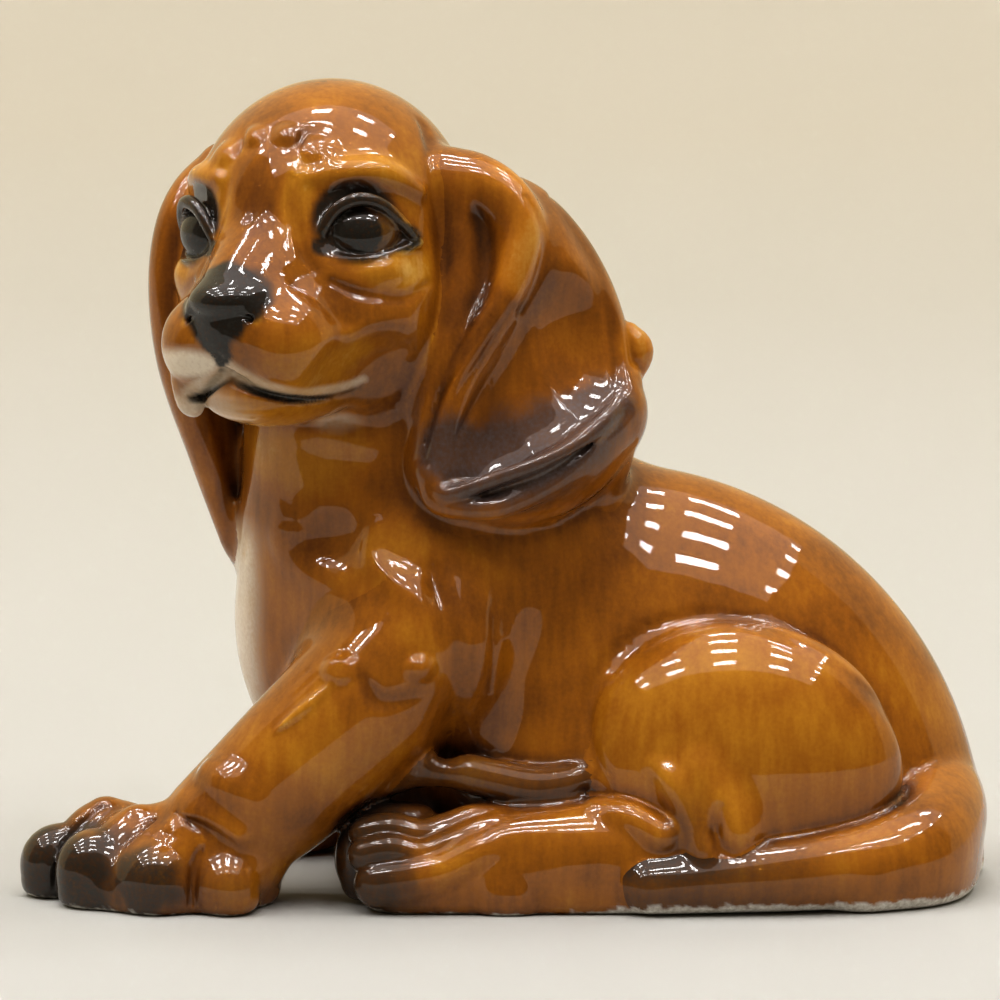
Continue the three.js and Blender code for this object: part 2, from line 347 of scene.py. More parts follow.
def probe(points, piece, step):
    """The fields at points and their gradients: (4 fields, value and 3 slopes, points)."""

    def around(p):
        spread = (p[None] + step * SPREAD[:, None]).reshape(-1, 3)
        f = fields(spread, piece).reshape(4, 4, len(p))
        slopes = np.einsum("fsp,sk->fkp", f, SPREAD) * (0.75 / step)
        return np.concatenate([f.mean(1, keepdims=True), slopes], axis=1)

    return in_chunks(points, around, PROBE_CUBE)


# ======================================================================================
# Meshing
# ======================================================================================

BLOCK = 8  # cells along a block that is measured at once
PROBE_CUBE = 6.0  # side of the cubes that scattered points are sorted into, mm
CORNERS = np.array([[x, y, z] for x in (0, 1) for y in (0, 1) for z in (0, 1)])
CELL_EDGES = [(a, b) for a in range(8) for b in range(a + 1, 8)
              if np.abs(CORNERS[a] - CORNERS[b]).sum() == 1]


def sample_grid(piece, cell):
    """The piece's three fields on a grid, measured only near its surface."""
    low, high = piece_bounds(piece)
    first = np.floor(low / cell) * cell
    blocks = np.ceil((high - first) / (cell * BLOCK)).astype(int)
    size = blocks * BLOCK
    grid = np.full((3, *size), FAR, np.float32)
    geometry = lambda p: fields(p, piece)[:3]
    steps = np.stack(np.meshgrid(*[np.arange(BLOCK)] * 3, indexing="ij"), -1).reshape(-1, 3)
    index = np.stack(np.meshgrid(*[np.arange(n) for n in blocks], indexing="ij"), -1)
    index = index.reshape(-1, 3)
    centres = first + (index * BLOCK + BLOCK / 2) * cell
    at_centre = in_chunks(centres, geometry, 4 * BLOCK * cell)
    close = np.abs(at_centre.max(0)) < 1.5 * BLOCK * cell + 1.0
    for number, block in enumerate(index):
        a = block * BLOCK
        where = (slice(None), slice(a[0], a[0] + BLOCK), slice(a[1], a[1] + BLOCK),
                 slice(a[2], a[2] + BLOCK))
        if close[number]:
            points = first + (a + steps) * cell
            grid[where] = geometry(points).reshape(3, BLOCK, BLOCK, BLOCK)
        else:
            grid[where] = at_centre[:, number, None, None, None]
    return first, grid


def net(grid):
    """Surface nets: one vertex in each cell that the surface crosses, and quads between them.
    Also which of the three fields the surface follows in each cell."""
    value = grid.max(0)
    inside = value < 0
    count = np.zeros(np.array(value.shape) - 1, np.int8)
    shape = count.shape
    for c in CORNERS:
        count += inside[c[0]:c[0] + shape[0], c[1]:c[1] + shape[1], c[2]:c[2] + shape[2]]
    cells = np.argwhere((count > 0) & (count < 8))
    ids = np.full(shape, -1, np.int32)
    ids[tuple(cells.T)] = np.arange(len(cells))
    place = np.zeros((len(cells), 3))
    hits = np.zeros(len(cells))
    follows = np.zeros((len(cells), 3), bool)
    for a, b in CELL_EDGES:
        ia, ib = tuple((cells + CORNERS[a]).T), tuple((cells + CORNERS[b]).T)
        va, vb = value[ia].astype(float), value[ib].astype(float)
        crossing = (va < 0) != (vb < 0)
        t = np.where(crossing, va / np.where(crossing, va - vb, 1), 0)
        place += crossing[:, None] * (CORNERS[a] + t[:, None] * (CORNERS[b] - CORNERS[a]))
        hits += crossing
        fa, fb = grid[(slice(None), *ia)], grid[(slice(None), *ib)]
        leader = (fa + t * (fb - fa)).argmax(0)
        for k in range(3):
            follows[:, k] |= crossing & (leader == k)
    place = cells + place / hits[:, None]
    quads = []
    for axis in range(3):
        u, v = (axis + 1) % 3, (axis + 2) % 3
        ahead = [slice(None)] * 3
        ahead[axis] = slice(1, None)
        behind = [slice(None)] * 3
        behind[axis] = slice(0, -1)
        change = inside[tuple(behind)].astype(np.int8) - inside[tuple(ahead)]
        change[tuple(slice(0, 1) if k == u else slice(None) for k in range(3))] = 0
        change[tuple(slice(0, 1) if k == v else slice(None) for k in range(3))] = 0
        for side in (1, -1):
            e = np.argwhere(change == side)
            e = e[(e[:, u] < shape[u]) & (e[:, v] < shape[v])]
            du, dv = np.zeros(3, int), np.zeros(3, int)
            du[u], dv[v] = 1, 1
            ring = [e - du - dv, e - dv, e, e - du]
            if side < 0:
                ring = ring[::-1]
            quads.append(np.stack([ids[tuple(r.T)] for r in ring], 1))
    quads = np.concatenate(quads)
    return place, follows, quads[(quads >= 0).all(1)]


def settle(points, follows, piece, cell):
    """Moves each vertex onto the field it follows, or onto the line where two of them meet."""
    start = points.copy()
    first = probe(points, piece, 0.25)
    gradient = first[:3, 1:]
    double = follows.sum(1) >= 2
    for turn in range(2):
        if turn == 0:
            value = first[:3, 0]
        else:
            value = in_chunks(points, lambda p: fields(p, piece)[:3], PROBE_CUBE)
        move = np.zeros_like(points)
        for k in range(3):
            g, f = gradient[k].T, value[k]
            only = follows[:, k] & ~double
            move[only] -= (f / np.maximum((g * g).sum(1), 1e-3))[only, None] * g[only]
        for a, b in ((0, 1), (0, 2), (1, 2)):
            both = double & follows[:, a] & follows[:, b]
            ga, gb, fa, fb = gradient[a].T[both], gradient[b].T[both], value[a][both], value[b][both]
            aa, bb, ab = (ga * ga).sum(1), (gb * gb).sum(1), (ga * gb).sum(1)
            det = np.maximum(aa * bb - ab * ab, 0.02)
            wa, wb = (bb * fa - ab * fb) / det, (aa * fb - ab * fa) / det
            move[both] -= wa[:, None] * ga + wb[:, None] * gb
        points = points + move
        drift = points - start
        length = np.linalg.norm(drift, axis=1, keepdims=True)
        points = start + drift * np.minimum(1, 0.9 * cell / np.maximum(length, 1e-9))
    return points


def build_piece(piece, cell):
    """Meshes one casting. Its normals come from the distance fields, so that luted joints
    and the grid don't show in the gloss."""
    cell = cell * CELL_SCALE
    first, grid = sample_grid(piece, cell)
    place, follows, quads = net(grid)
    points = settle(first + place * cell, follows, piece, cell)
    gradient = probe(points, piece, 0.35)[[3, 1, 2], 1:]
    gradient /= np.maximum(np.linalg.norm(gradient, axis=1, keepdims=True), 1e-9)
    kind = np.stack([follows[quads, k].sum(1) for k in range(3)]).argmax(0)
    normals = gradient.transpose(0, 2, 1)[kind[:, None], quads]
    mesh = bpy.data.meshes.new(piece)
    world = (points + DOG_ORIGIN) * MM
    mesh.vertices.add(len(world))
    mesh.vertices.foreach_set("co", world.astype(np.float32).ravel())
    mesh.loops.add(quads.size)
    mesh.loops.foreach_set("vertex_index", quads.astype(np.int32).ravel())
    mesh.polygons.add(len(quads))
    mesh.polygons.foreach_set("loop_start", np.arange(0, quads.size, 4, dtype=np.int32))
    mesh.polygons.foreach_set("use_smooth", np.ones(len(quads), bool))
    mesh.update(calc_edges=True)
    mesh.normals_split_custom_set(normals.reshape(-1, 3).astype(np.float32))
    paint(mesh, points, gradient[0].T, piece)
    obj = bpy.data.objects.new("glazed_" + piece, mesh)
    bpy.context.scene.collection.objects.link(obj)
    return obj


def piece_bounds(piece):
    """The space that holds a piece: all its forms, and a little more."""
    own = [form for verb, form, owner, _ in STEPS if owner == piece]
    if piece in ("body", "head"):
        own += [form for verb, form, _, _ in STEPS if verb == "neck"]
    margin = 4.0
    low = np.min([form.low for form in own], axis=0) - margin
    high = np.max([form.high for form in own], axis=0) + margin
    low[2] = max(low[2], -1.3)
    return low, high


# ======================================================================================
# The dog, in millimetres: +Z up, +X towards the tail, -Y to the dog's left
# ======================================================================================

WALL = 3.5  # thickness of a slip-cast shell
BASE_ROUNDING = 1.6  # softened edge around the base
HEAD_CENTRE = np.array([-28.0, -8.0, 111.0])
HEAD_TURN = math.radians(27)
HEAD_ROLL = math.radians(3)
MUZZLE_BEND = 0.06  # how far the muzzle swings to the dog's right, per mm forward
NECK_JOINT = (np.array([-19.0, -3.0, 88.0]), np.array([-0.35, -0.1, 0.93]))


def head_axes():
    """Rows: the dog's left, forward and up in its own head."""
    left = np.array([math.cos(HEAD_TURN), -math.sin(HEAD_TURN), 0])
    forward = np.array([-math.sin(HEAD_TURN), -math.cos(HEAD_TURN), 0])
    up = np.array([0, 0, 1.0])
    c, s = math.cos(HEAD_ROLL), math.sin(HEAD_ROLL)
    return np.array([c * left + s * up, forward, c * up - s * left])


HEAD_AXES = head_axes()


def in_head(stations):
    """Stations given as left, forward, up in the head, with any radii after them."""
    rows = []
    for s in stations:
        bent = np.array(s[:3]) - [MUZZLE_BEND * max(s[1] - 10, 0), 0, 0]
        rows.append([*(HEAD_CENTRE + bent @ HEAD_AXES), *s[3:]])
    return rows


def head_egg(left, forward, up, reach, axes=UPRIGHT):
    return Egg(in_head([[left, forward, up]])[0], reach, axes @ HEAD_AXES)


OUTWARD = np.array([0, -1.0, 0])  # out of the dog's left side


def mirrored(stations, side):
    """Stations given for the dog's left, for that side or for the other."""
    return stations if side < 0 else [[s[0], -s[1], *s[2:]] for s in stations]


def sculpt_body():
    trunk = np.array([40, 65.5, 31, 31, 67, 67])
    chest = np.array([29, 25, 34])
    throat = [[-24, -6, 86, 14.5], [-26.5, -6, 76, 15.5], [-26.5, -4, 64, 17]]
    column = [[-4, 0, 58, 26], [-13, -1, 76, 23], [-20, -3, 90, 20.5], [-25, -6, 103, 19]]
    add("body", Egg([17, 0, 3], trunk), 1)
    add("body", Egg([-16, 0, 44], chest), 12)
    for side in (-1, 1):
        add("body", Egg([-13, side * 17, 46], [17, 15, 22], turned(y=-18)), 8)
    neck(column, 9)
    neck(throat, 8)
    leave_hollow(Egg([17, 0, 3], trunk - WALL), 1)
    leave_hollow(Egg([-16, 0, 44], chest - WALL), 4)
    leave_hollow(Limb([[*s[:3], s[3] - WALL] for s in column]), 4)
    for side in (-1, 1):
        belly_roll = [
            [-19, -27, 19.5, 1.5], [-13, -28, 22, 2.6], [-8, -29, 22.5, 3.2], [-1, -29.5, 21, 3.4],
            [6, -30, 19.8, 3.4], [12, -29.5, 20.8, 2.8], [15, -28, 23, 1.5],
        ]
        rod("body", mirrored(belly_roll, side), 1.6)


def sculpt_skin():
    """Folds and hollows in the neck, chest and flank, once the legs are on."""
    for side in (-1, 1):
        through = side * np.array([0, 1.0, 0])
        behind_leg = [
            [-11, -31, 56, 2.5], [-9.5, -33, 47, 4], [-8, -33, 39, 4.5], [-8.4, -30, 30, 4],
            [-8.8, -26, 22, 3],
        ]
        groove(mirrored(behind_leg, side), 1.8, through)
        flank = [[-0.5, -29, 60, 1], [-0.6, -29.5, 55, 1.4], [-1, -29.5, 48, 1.4], [-2, -29, 36, 1]]
        groove(mirrored(flank, side), 0.5, through)
        flank = [[1.2, -29, 59, 1], [1, -29.5, 53, 1.2], [0.6, -29.5, 46, 1]]
        groove(mirrored(flank, side), 0.4, through)
        dent([-26, side * 22, 59], [9, 9, 8], 1.6)
        shoulder = [[-36, -17, 65, 2], [-36, -17, 59, 2.6], [-33, -19, 55, 3], [-26, -25, 54, 3]]
        groove(mirrored(shoulder, side), -0.9)
        shoulder = [[-20, -26, 63, 2], [-21, -28, 58, 3], [-16, -32, 53.5, 3.5], [-11.5, -33, 49, 3]]
        groove(mirrored(shoulder, side), -1.1)
    throat = [[-28, -19, 76, 1.5], [-33, -15.5, 71, 2.4], [-37, -12, 65, 2.6], [-41, -9, 56, 2.2]]
    groove(throat, 1.4)
    throat = [[-27, -21, 73, 1.5], [-32, -18, 69, 2], [-36, -14, 65, 2.2], [-39, -12, 58, 1.8]]
    groove(throat, -1.0)
    throat = [[-22, -24, 76, 2.5], [-28, -21, 77, 3], [-34, -13, 75, 2.5]]
    groove(throat, -1.2)


EYE_CENTRES = {1: [16.0, 18.7, 0.5], -1: [-14.6, 19.4, 0.6]}  # left, forward, up in the head
EYE_TURN = math.radians(33)  # how far the left eye looks to the left
EYE_TILT = math.radians(6)  # and up


def eye_frame(side):
    """Rows, in the head: towards the eye's outer corner, out of the eye, and up."""
    across = np.array([math.cos(EYE_TURN), -math.sin(EYE_TURN), 0])
    level = np.array([math.sin(EYE_TURN), math.cos(EYE_TURN), 0])
    up = np.array([0, 0, 1.0])
    c, s = math.cos(EYE_TILT), math.sin(EYE_TILT)
    rows = np.array([across, c * level + s * up, c * up - s * level])
    return rows * [side, 1, 1]


def at_eye(stations, side):
    """Stations given as across, out, up from the eye's centre, with any radii after them."""
    frame = eye_frame(side)
    rows = []
    for s in stations:
        rows.append([*(np.array(EYE_CENTRES[side]) + np.array(s[:3]) @ frame), *s[3:]])
    return in_head(rows)


EYE_SIZE = np.array([6.3, 5.2, 5.1])
EYEBALL = [0.2, -3.2, -0.2]  # middle of the ball, from the eye's centre
UPPER_LID = [
    [-7.2, -0.9, -3.2, 0.4], [-5.9, 0.3, 0.4, 0.9], [-3.5, 1.1, 3.6, 1.1], [0, 1.4, 4.9, 1.2],
    [3.5, 0.7, 3.9, 1.1], [6.5, -0.9, 1.1, 1.0], [9.4, -3.2, -2.4, 0.6],
]
LID_FOLD = [[-5, 0.4, 5.6, 1.0], [-0.5, 0.8, 7.4, 1.2], [4.4, -0.2, 6.6, 1.2], [8.4, -2.6, 2.6, 0.8]]
LOWER_LID = [
    [-7.0, -0.9, -3.0, 0.5], [-4.8, 0.1, -4.4, 0.7], [-1.2, 0.6, -5.0, 0.8],
    [2.8, 0.0, -4.7, 0.8], [6.2, -1.5, -3.8, 0.7], [9.4, -3.2, -2.4, 0.5],
]


def sculpt_eyes():
    for side in (-1, 1):
        socket = at_eye([[0, 0.5, 0.5]], side)[0]
        dent(socket, [9.5, 7, 8], 1.8, eye_frame(side) @ HEAD_AXES)
        add("head", Egg(at_eye([EYEBALL], side)[0], EYE_SIZE, eye_frame(side) @ HEAD_AXES), 0.4)
        rod("head", at_eye(UPPER_LID, side), 0.7)
        rod("head", at_eye(LOWER_LID, side), 0.7)
        groove(at_eye(LID_FOLD, side), 0.5)


LIP_LINE = [
    [0, 36.2, -21.0], [2.4, 35.6, -22.8], [4.8, 34.0, -24.4], [8, 31, -25.8],
    [10, 25.8, -26.6], [12.6, 20.8, -26.4], [15.2, 18, -25.3],
]  # the left half of the mouth, in the head


def both_sides(stations, side):
    """Stations of the head's left half, for that side or for the other."""
    return in_head([[side * s[0], *s[1:]] for s in stations])


def out_of_lip(side):
    return np.array([0.6 * side, 0.8, 0]) @ HEAD_AXES


def sculpt_muzzle():
    rod("head", in_head([[0, 10, -9, 14], [0, 22, -12, 11.5], [0, 28.5, -14, 9.6]]), 7)
    for side in (-1, 1):
        add("head", head_egg(side * 12, 9, -12, [11, 13, 12]), 7)
        add("head", head_egg(side * 12, 13, -19.5, [9, 12.5, 9]), 5)
        add("head", head_egg(side * 7.3, 27.2, -17, [8, 9.8, 8.6]), 3)
    rod("head", in_head([[0, 17, -3.5, 7], [0, 24.5, -5.6, 6.4], [0, 30.5, -9.4, 5.6]]), 4)
    jaw = in_head([[0, 4, -20, 13], [0, 14, -23.6, 12.6], [0, 20.5, -25, 11.4], [0, 25.2, -25, 9.8]])
    rod("head", jaw, 1.0, flat=(HEAD_AXES[2], 1.75))
    for side in (-1, 1):
        lip = [[l, f - 0.2, u, 0.95] for l, f, u in LIP_LINE]
        groove(both_sides(lip, side), 1.5, out_of_lip(side))
        rim = [[l * 0.99, f, u + 1.4, 1.2] for l, f, u in LIP_LINE]
        groove(both_sides(rim, side), -0.4)
        corner = [[17.5, 14.5, -20, 1.5], [20, 12, -23, 2], [19.5, 12.5, -27, 2], [15, 16, -29, 1.5]]
        groove(both_sides(corner, side), 0.8)
        dent(both_sides([[15.5, 18.5, -21]], side)[0], [6, 6, 4], -0.9)
        jowl = [[10, 26, -28, 1.5], [14, 20, -28.5, 1.8], [17, 14, -28.5, 1.2]]
        groove(both_sides(jowl, side), 0.5)
    droop = in_head([[-10.4, 30, -23, 3.0], [-10.2, 30.2, -26.2, 2.4], [-9.8, 30, -27.4, 1.7]])
    rod("head", droop, 0.8)


def sculpt_nose():
    add("head", head_egg(0, 32.4, -9.8, [7.2, 7.2, 7.0, 7.0, 3.4, 4.4]), 0.9)
    shield = [
        [0, 34.9, -11.8, 5.8], [0, 35.8, -14.2, 4.2], [0, 36.4, -16.8, 2.1], [0, 36.4, -18.8, 0.8],
    ]
    rod("head", in_head(shield), 0.4, flat=(HEAD_AXES[1], 1.8))
    for side in (-1, 1):
        add("head", head_egg(side * 5.0, 33.0, -11.6, [2.6, 4, 3.2]), 0.8)
        nostril = [
            [3.0, 38.6, -13.2, 0.25], [4.0, 38.2, -12.4, 0.55], [5.4, 37, -12.2, 0.55],
            [6.4, 35.6, -13, 0.3],
        ]
        cut(Limb(both_sides(nostril, side)), 0.4)
        wing = [
            [4.4, 36.5, -15.8, 0.7], [6.4, 34, -15.4, 0.9], [8.0, 31, -12.8, 0.9],
            [7.8, 29.5, -8.6, 0.8],
        ]
        groove(both_sides(wing, side), 0.6)
    groove(in_head([[0, 37, -18.4, 0.8], [0, 37.4, -21.2, 1.0]]), 0.8)


FACE_LINES = [  # grooves, and a ridge, on each side of the head: depth and stations
    (0.6, [[5.5, 19.4, 13, 1.0], [6, 17.6, 16.6, 1.3], [10, 16, 18.0, 1.4], [14, 14.5, 15.4, 1.0]]),
    (-2.0, [[9, 21, 9.4, 2.4], [14, 18.6, 10.2, 3.6], [18.5, 13.5, 9.4, 3.6], [21.5, 8.5, 6, 2.4]]),
    (0.5, [[6.2, 22.5, 9, 1.2], [6.8, 23.6, 4.5, 1.6], [8.5, 24.8, -1.5, 1.6], [11, 25, -5.5, 1.2]]),
    (0.55, [[13, 23.5, -7.5, 1.2], [17, 21, -9.8, 1.8], [21.5, 16, -11, 1.8], [23.5, 10.5, -9, 1.3]]),
    (0.35, [[9, 29, -8, 1.6], [13, 26, -13, 2.2], [17.5, 19.5, -16, 2], [21.5, 12, -16.5, 1.4]]),
    (0.9, [[17, -2, 16.5, 2], [21.5, 3.5, 8, 2.6], [23.5, 5, -4, 3], [22.5, 7.5, -16, 2.8],
           [19, 8, -26, 2.4]]),
]


def sculpt_brow():
    for side in (-1, 1):
        dent(both_sides([[9.6, 18.8, 13.4]], side)[0], [4.2, 5, 3.6], -1.1)
        dent(both_sides([[3.2, 19.0, 16.6]], side)[0], [3.4, 4, 2.8], -0.9)
        for depth, line in FACE_LINES[:4]:
            groove(both_sides(line, side), depth)
        dent(both_sides([[19.5, 17.5, -6]], side)[0], [5, 6, 3.6], -0.8)
        for depth, line in FACE_LINES[4:]:
            groove(both_sides(line, side), depth)
    groove(in_head([[0, 22.5, 12, 1.6], [0, 24.5, 7, 2.2], [0, 25.8, 2.5, 1.6]]), 0.35)


def sculpt_head():
    skull = np.array([23, 25, 24.5])
    add("head", head_egg(0, 0, 0, skull), 4)
    sculpt_muzzle()
    sculpt_nose()
    sculpt_brow()
    sculpt_eyes()
    leave_hollow(head_egg(0, 0, 0, skull - WALL), 2)


def sculpt_left_ear():
    add("left_ear", Egg([6, -12, 93], [17, 15, 13, 12, 31, 28], turned(y=-18)), 3)
    add("left_ear", Egg([1, -16, 78], [14, 11, 13]), 6)
    filling = [
        [-6, -15, 117, 6.5], [-4, -17, 106, 7.5], [-5, -19.5, 95, 8], [-7, -21, 84, 7.5],
        [-7, -21, 76, 7],
    ]
    rod("left_ear", filling, 4)
    pouch = [[-6, -22, 71.5, 9.4], [2, -22.4, 72.8, 10.6], [9, -20.5, 75.6, 10.6], [15, -16, 80.5, 9.6]]
    rod("left_ear", pouch, 2)
    bowl = [
        [-13, -45.8, 80.5, 20], [-5, -45.8, 83.5, 20], [1, -45.8, 87, 20], [9.8, -44.6, 90.4, 20],
        [16.4, -41, 94.5, 20], [20, -37.6, 96, 20],
    ]
    cut(Limb(bowl, piece_length=3), 2)
    front = [
        [-8, -17, 119.5, 3.5], [-1, -19.5, 118.6, 3.3], [3, -21.5, 115, 3], [3.8, -23, 110.5, 2.8],
        [2.6, -24.5, 105.5, 2.7], [0, -26, 100, 2.6], [-3.5, -26.6, 94.5, 2.6], [-7, -26.6, 88, 3],
        [-9, -26.6, 80, 3.4], [-9.6, -27, 73, 3.6],
    ]
    rod("left_ear", front, 5)
    inner_roll = [
        [-11, -29.8, 71.5, 1.3], [-8.5, -31.4, 68.9, 1.4], [0, -32.8, 71.8, 1.3],
        [9.8, -31.2, 75.4, 1.3], [16.2, -27, 79.6, 1.3], [20, -21.4, 83, 1.1],
    ]
    rod("left_ear", inner_roll, 1.6)
    outer_roll = [
        [-12, -28.5, 72, 1.8], [-10.2, -30, 67.2, 1.9], [-2.6, -31.8, 66.4, 1.9],
        [2.5, -31.6, 67.6, 1.9], [8.7, -30.2, 70.6, 1.8], [14.6, -26, 74.6, 1.8],
        [18.8, -21, 79.4, 1.8], [21.2, -15.4, 86, 2.2],
    ]
    rod("left_ear", outer_roll, 1.2)
    wedge = [
        [-5, -34, 69, 0.7], [2, -34, 70, 1.2], [9, -32.4, 73, 1.4], [15, -27.8, 77.2, 1.3],
        [19, -22, 81, 0.9],
    ]
    groove(wedge, 1.1)
    rod("left_ear", [[21.2, -12.5, 93, 2.3], [22.6, -12.5, 90.4, 3.0], [21.4, -12.5, 86.6, 2.5]], 0.7)
    hollow = [
        [-4.5, -20, 116, 1], [-3.2, -22, 111.5, 3], [-2.6, -23, 107, 3.8], [-3.2, -24, 101, 3.8],
        [-5.6, -25.5, 95, 3], [-8.8, -27, 88.5, 2.2], [-11.3, -28, 80, 1.6], [-12.5, -28, 74, 1],
    ]
    groove(hollow, 1.8, OUTWARD)
    wrinkles = [
        [[2, -27, 99.5, 0.7], [-2.6, -28, 92, 1.1], [-6.7, -28, 85.5, 1.1], [-9.5, -28, 78, 0.7]],
        [[0, -28, 90.5, 0.7], [-3.9, -28, 84, 1.1], [-6.8, -28, 78.7, 1.0], [-8, -28, 74, 0.6]],
        [[-1.5, -28, 97.7, 0.7], [-6, -28, 91, 1.1], [-9.6, -28, 84.5, 1.1], [-12, -28, 77, 0.7]],
    ]
    for wrinkle in wrinkles:
        groove(wrinkle, 0.5, OUTWARD)
    behind_rim = [
        [4.5, -24, 117, 0.8], [7.4, -25, 111, 1.4], [6.4, -26, 104.5, 1.5], [3.4, -27, 98.5, 1.2],
    ]
    groove(behind_rim, 0.8, OUTWARD)
    rear_edge = [
        [8, -12, 115.5, 1.6], [12, -15, 110.5, 2.4], [15.8, -18, 104.5, 2.6], [17.6, -19, 98.5, 2.4],
        [18.8, -18, 92, 2], [19.4, -18, 86, 1.6],
    ]
    groove(rear_edge, 0.9, OUTWARD)


def sculpt_right_ear():
    lobe = [
        [-47, 3, 116, 8], [-51, 4, 106, 12], [-50.5, 4, 92, 13], [-46, 4, 76, 12], [-43, 3, 61, 8.5],
    ]
    rod("right_ear", lobe, 3, flat=(HEAD_AXES[0], 2.2))
    ridge = [[-46, -8, 100, 2], [-44.5, -8, 88, 2.4], [-42, -7, 76, 2.4], [-40.5, -5, 64, 2]]
    groove(ridge, -0.9)
    furrow = [[-50, -6, 104, 2], [-49, -7, 92, 2.5], [-46.5, -6, 78, 2.5], [-43.5, -4, 64, 2]]
    groove(furrow, 0.9)


LEFT_TOES = [
    [[-60, -19, 9, 5.5], [-66, -20, 10.6, 5.4], [-70.6, -21, 8, 4.7], [-74.4, -21.4, 6.4, 5.3],
     [-74.8, -21.4, 3, 5.2]],
    [[-54, -25, 10, 5.5], [-60, -26.8, 10.4, 5.6], [-64.2, -28.4, 8, 4.9], [-67.6, -29.6, 6.8, 5.7],
     [-67.8, -29.8, 3, 5.6]],
    [[-46, -29, 9, 5.6], [-52.6, -31.4, 8.8, 5.5], [-55, -33.6, 6.8, 4.9], [-56.6, -35, 5.8, 5.7],
     [-56.6, -35.2, 3, 5.6]],
    [[-41, -31, 8, 5.4], [-43.8, -34.4, 6.2, 5.0], [-44.6, -36.2, 4.8, 5.1], [-44.6, -36.4, 3, 5.1]],
]


def sculpt_left_foreleg():
    left = [[-13, -23, 43, 14], [-25, -26, 31, 13], [-37, -27, 19.5, 12], [-46, -27, 12, 10.5]]
    rod("left_foreleg", left, 4)
    add("left_foreleg", Egg([-54, -27, 2.5], [17.5, 12, 12]), 4)
    for toe in LEFT_TOES:
        rod("left_foreleg", toe, 2.4)
    knob = [[-47.2, -32.4, 22.4, 1.8], [-44.2, -34.6, 21, 3.0], [-40.4, -35.6, 18.8, 2.0]]
    rod("left_foreleg", knob, 3)
    fold = [
        [-51.6, -31, 18, 0.7], [-49.6, -33.6, 17, 1.2], [-46.6, -35.8, 15.6, 1.4],
        [-43, -37.4, 13, 1.2],
    ]
    rod("left_foreleg", fold, 2.6)
    groove([[-53, -33, 15.8, 0.8], [-48.6, -37, 14.2, 1.4], [-44.4, -39, 11.6, 1.5]], 0.9)
    dent([-26.4, -36, 40.6], [4.2, 4, 3.4], -2.0)
    dent([-26.4, -38, 40.8], [2.1, 3, 1.6], 0.7)
    dent([-12.8, -37.5, 40.8], [3.4, 4, 3], -1.5)
    elbow = [[-23, -37.5, 41, 1], [-21.4, -38, 37.5, 2], [-18.5, -38.2, 35.4, 2.2], [-10, -37, 37, 1.5]]
    groove(elbow, 0.9)
    tendons = [
        [[-34, -31, 40, 0.6], [-41, -31, 35, 1], [-47.5, -29, 30, 0.7]],
        [[-31.5, -33, 40, 0.6], [-37.8, -33, 35.7, 1.1], [-44.5, -32, 30, 0.7]],
        [[-29.8, -35, 39.6, 0.6], [-35.2, -35.5, 35.3, 1.1], [-42, -35, 29.6, 0.7]],
    ]
    for tendon in tendons:
        groove(tendon, 0.45)
    groove([[-27.5, -37, 38, 1], [-32.7, -37.5, 34, 1.6], [-39.5, -37.5, 29, 1]], -0.9)
    between_toes = [
        (0.6, [[-66, -22.6, 15, 1], [-71, -25, 11, 1.3], [-73.4, -26.4, 6, 1.2], [-74, -27, 1, 1]]),
        (0.7, [[-57, -30.6, 14, 1.2], [-61.6, -33.4, 10, 1.4], [-62.5, -35.6, 5, 1.3],
               [-62.5, -36, 1, 1]]),
        (0.6, [[-48.6, -36, 12, 1], [-50.2, -38, 8, 1.2], [-50.6, -39, 2, 1]]),
    ]
    for depth, line in between_toes:
        groove(line, depth)
    for knuckle in ([-66, -20, 15.8], [-60.4, -28, 15.8], [-53, -33.6, 13.8]):
        dent(knuckle, [3.2, 3.2, 2.6], -0.5)


def sculpt_right_foreleg():
    right = [[-12, 20, 38, 13], [-16, 22, 24, 11.5], [-26, 21, 12, 10], [-38, 19, 8.5, 8.5]]
    rod("right_foreleg", right, 4)
    add("right_foreleg", Egg([-42, 19, 4], [12, 10, 10]), 5)
    for across in (-6.5, -2.2, 2.2, 6.5):
        back = abs(across) / 3
        toe = [
            [-44, 19 + across, 7.5, 4.5], [-49 + back, 19 + across * 1.15, 6, 4.2],
            [-52 + back, 19 + across * 1.2, 4.2, 3.8],
        ]
        rod("right_foreleg", toe, 1.0)


HAUNCH_OUTLINE = [
    [18.5, -35, 20, 1.2], [15.6, -32, 25, 1.8], [14.6, -30, 30, 2.2], [15.2, -28, 35, 2.2],
    [17.6, -26, 40, 1.9], [22, -25, 44, 1.6], [29, -24, 47, 1.4], [37, -24, 47.6, 1.4],
    [46, -25, 44.4, 1.5], [54, -25, 40, 1.6], [60, -25, 35.6, 1.7], [64.6, -24, 31, 1.8],
    [67.2, -21, 26, 1.8], [68, -18, 21, 1.4],
]
HAUNCH_HAIRS = [
    [[60, -20, 49, 0.6], [63.5, -22, 42, 0.9], [66, -23, 34, 0.6]],
    [[56, -22, 49, 0.5], [60, -24, 43, 0.8], [64, -25, 36, 0.5]],
    [[69.4, -17, 39, 0.5], [68.6, -18, 33, 0.8], [68, -19, 27, 0.6]],
    [[73, -14, 33, 0.5], [70, -17, 29.6, 0.8], [67.8, -19, 25.5, 0.5]],
    [[49, -26, 38, 0.5], [55, -27, 35, 0.8], [62, -26, 29.6, 0.5]],
    [[52, -27, 34, 0.5], [58, -27, 31.5, 0.8], [64, -25, 27, 0.5]],
]


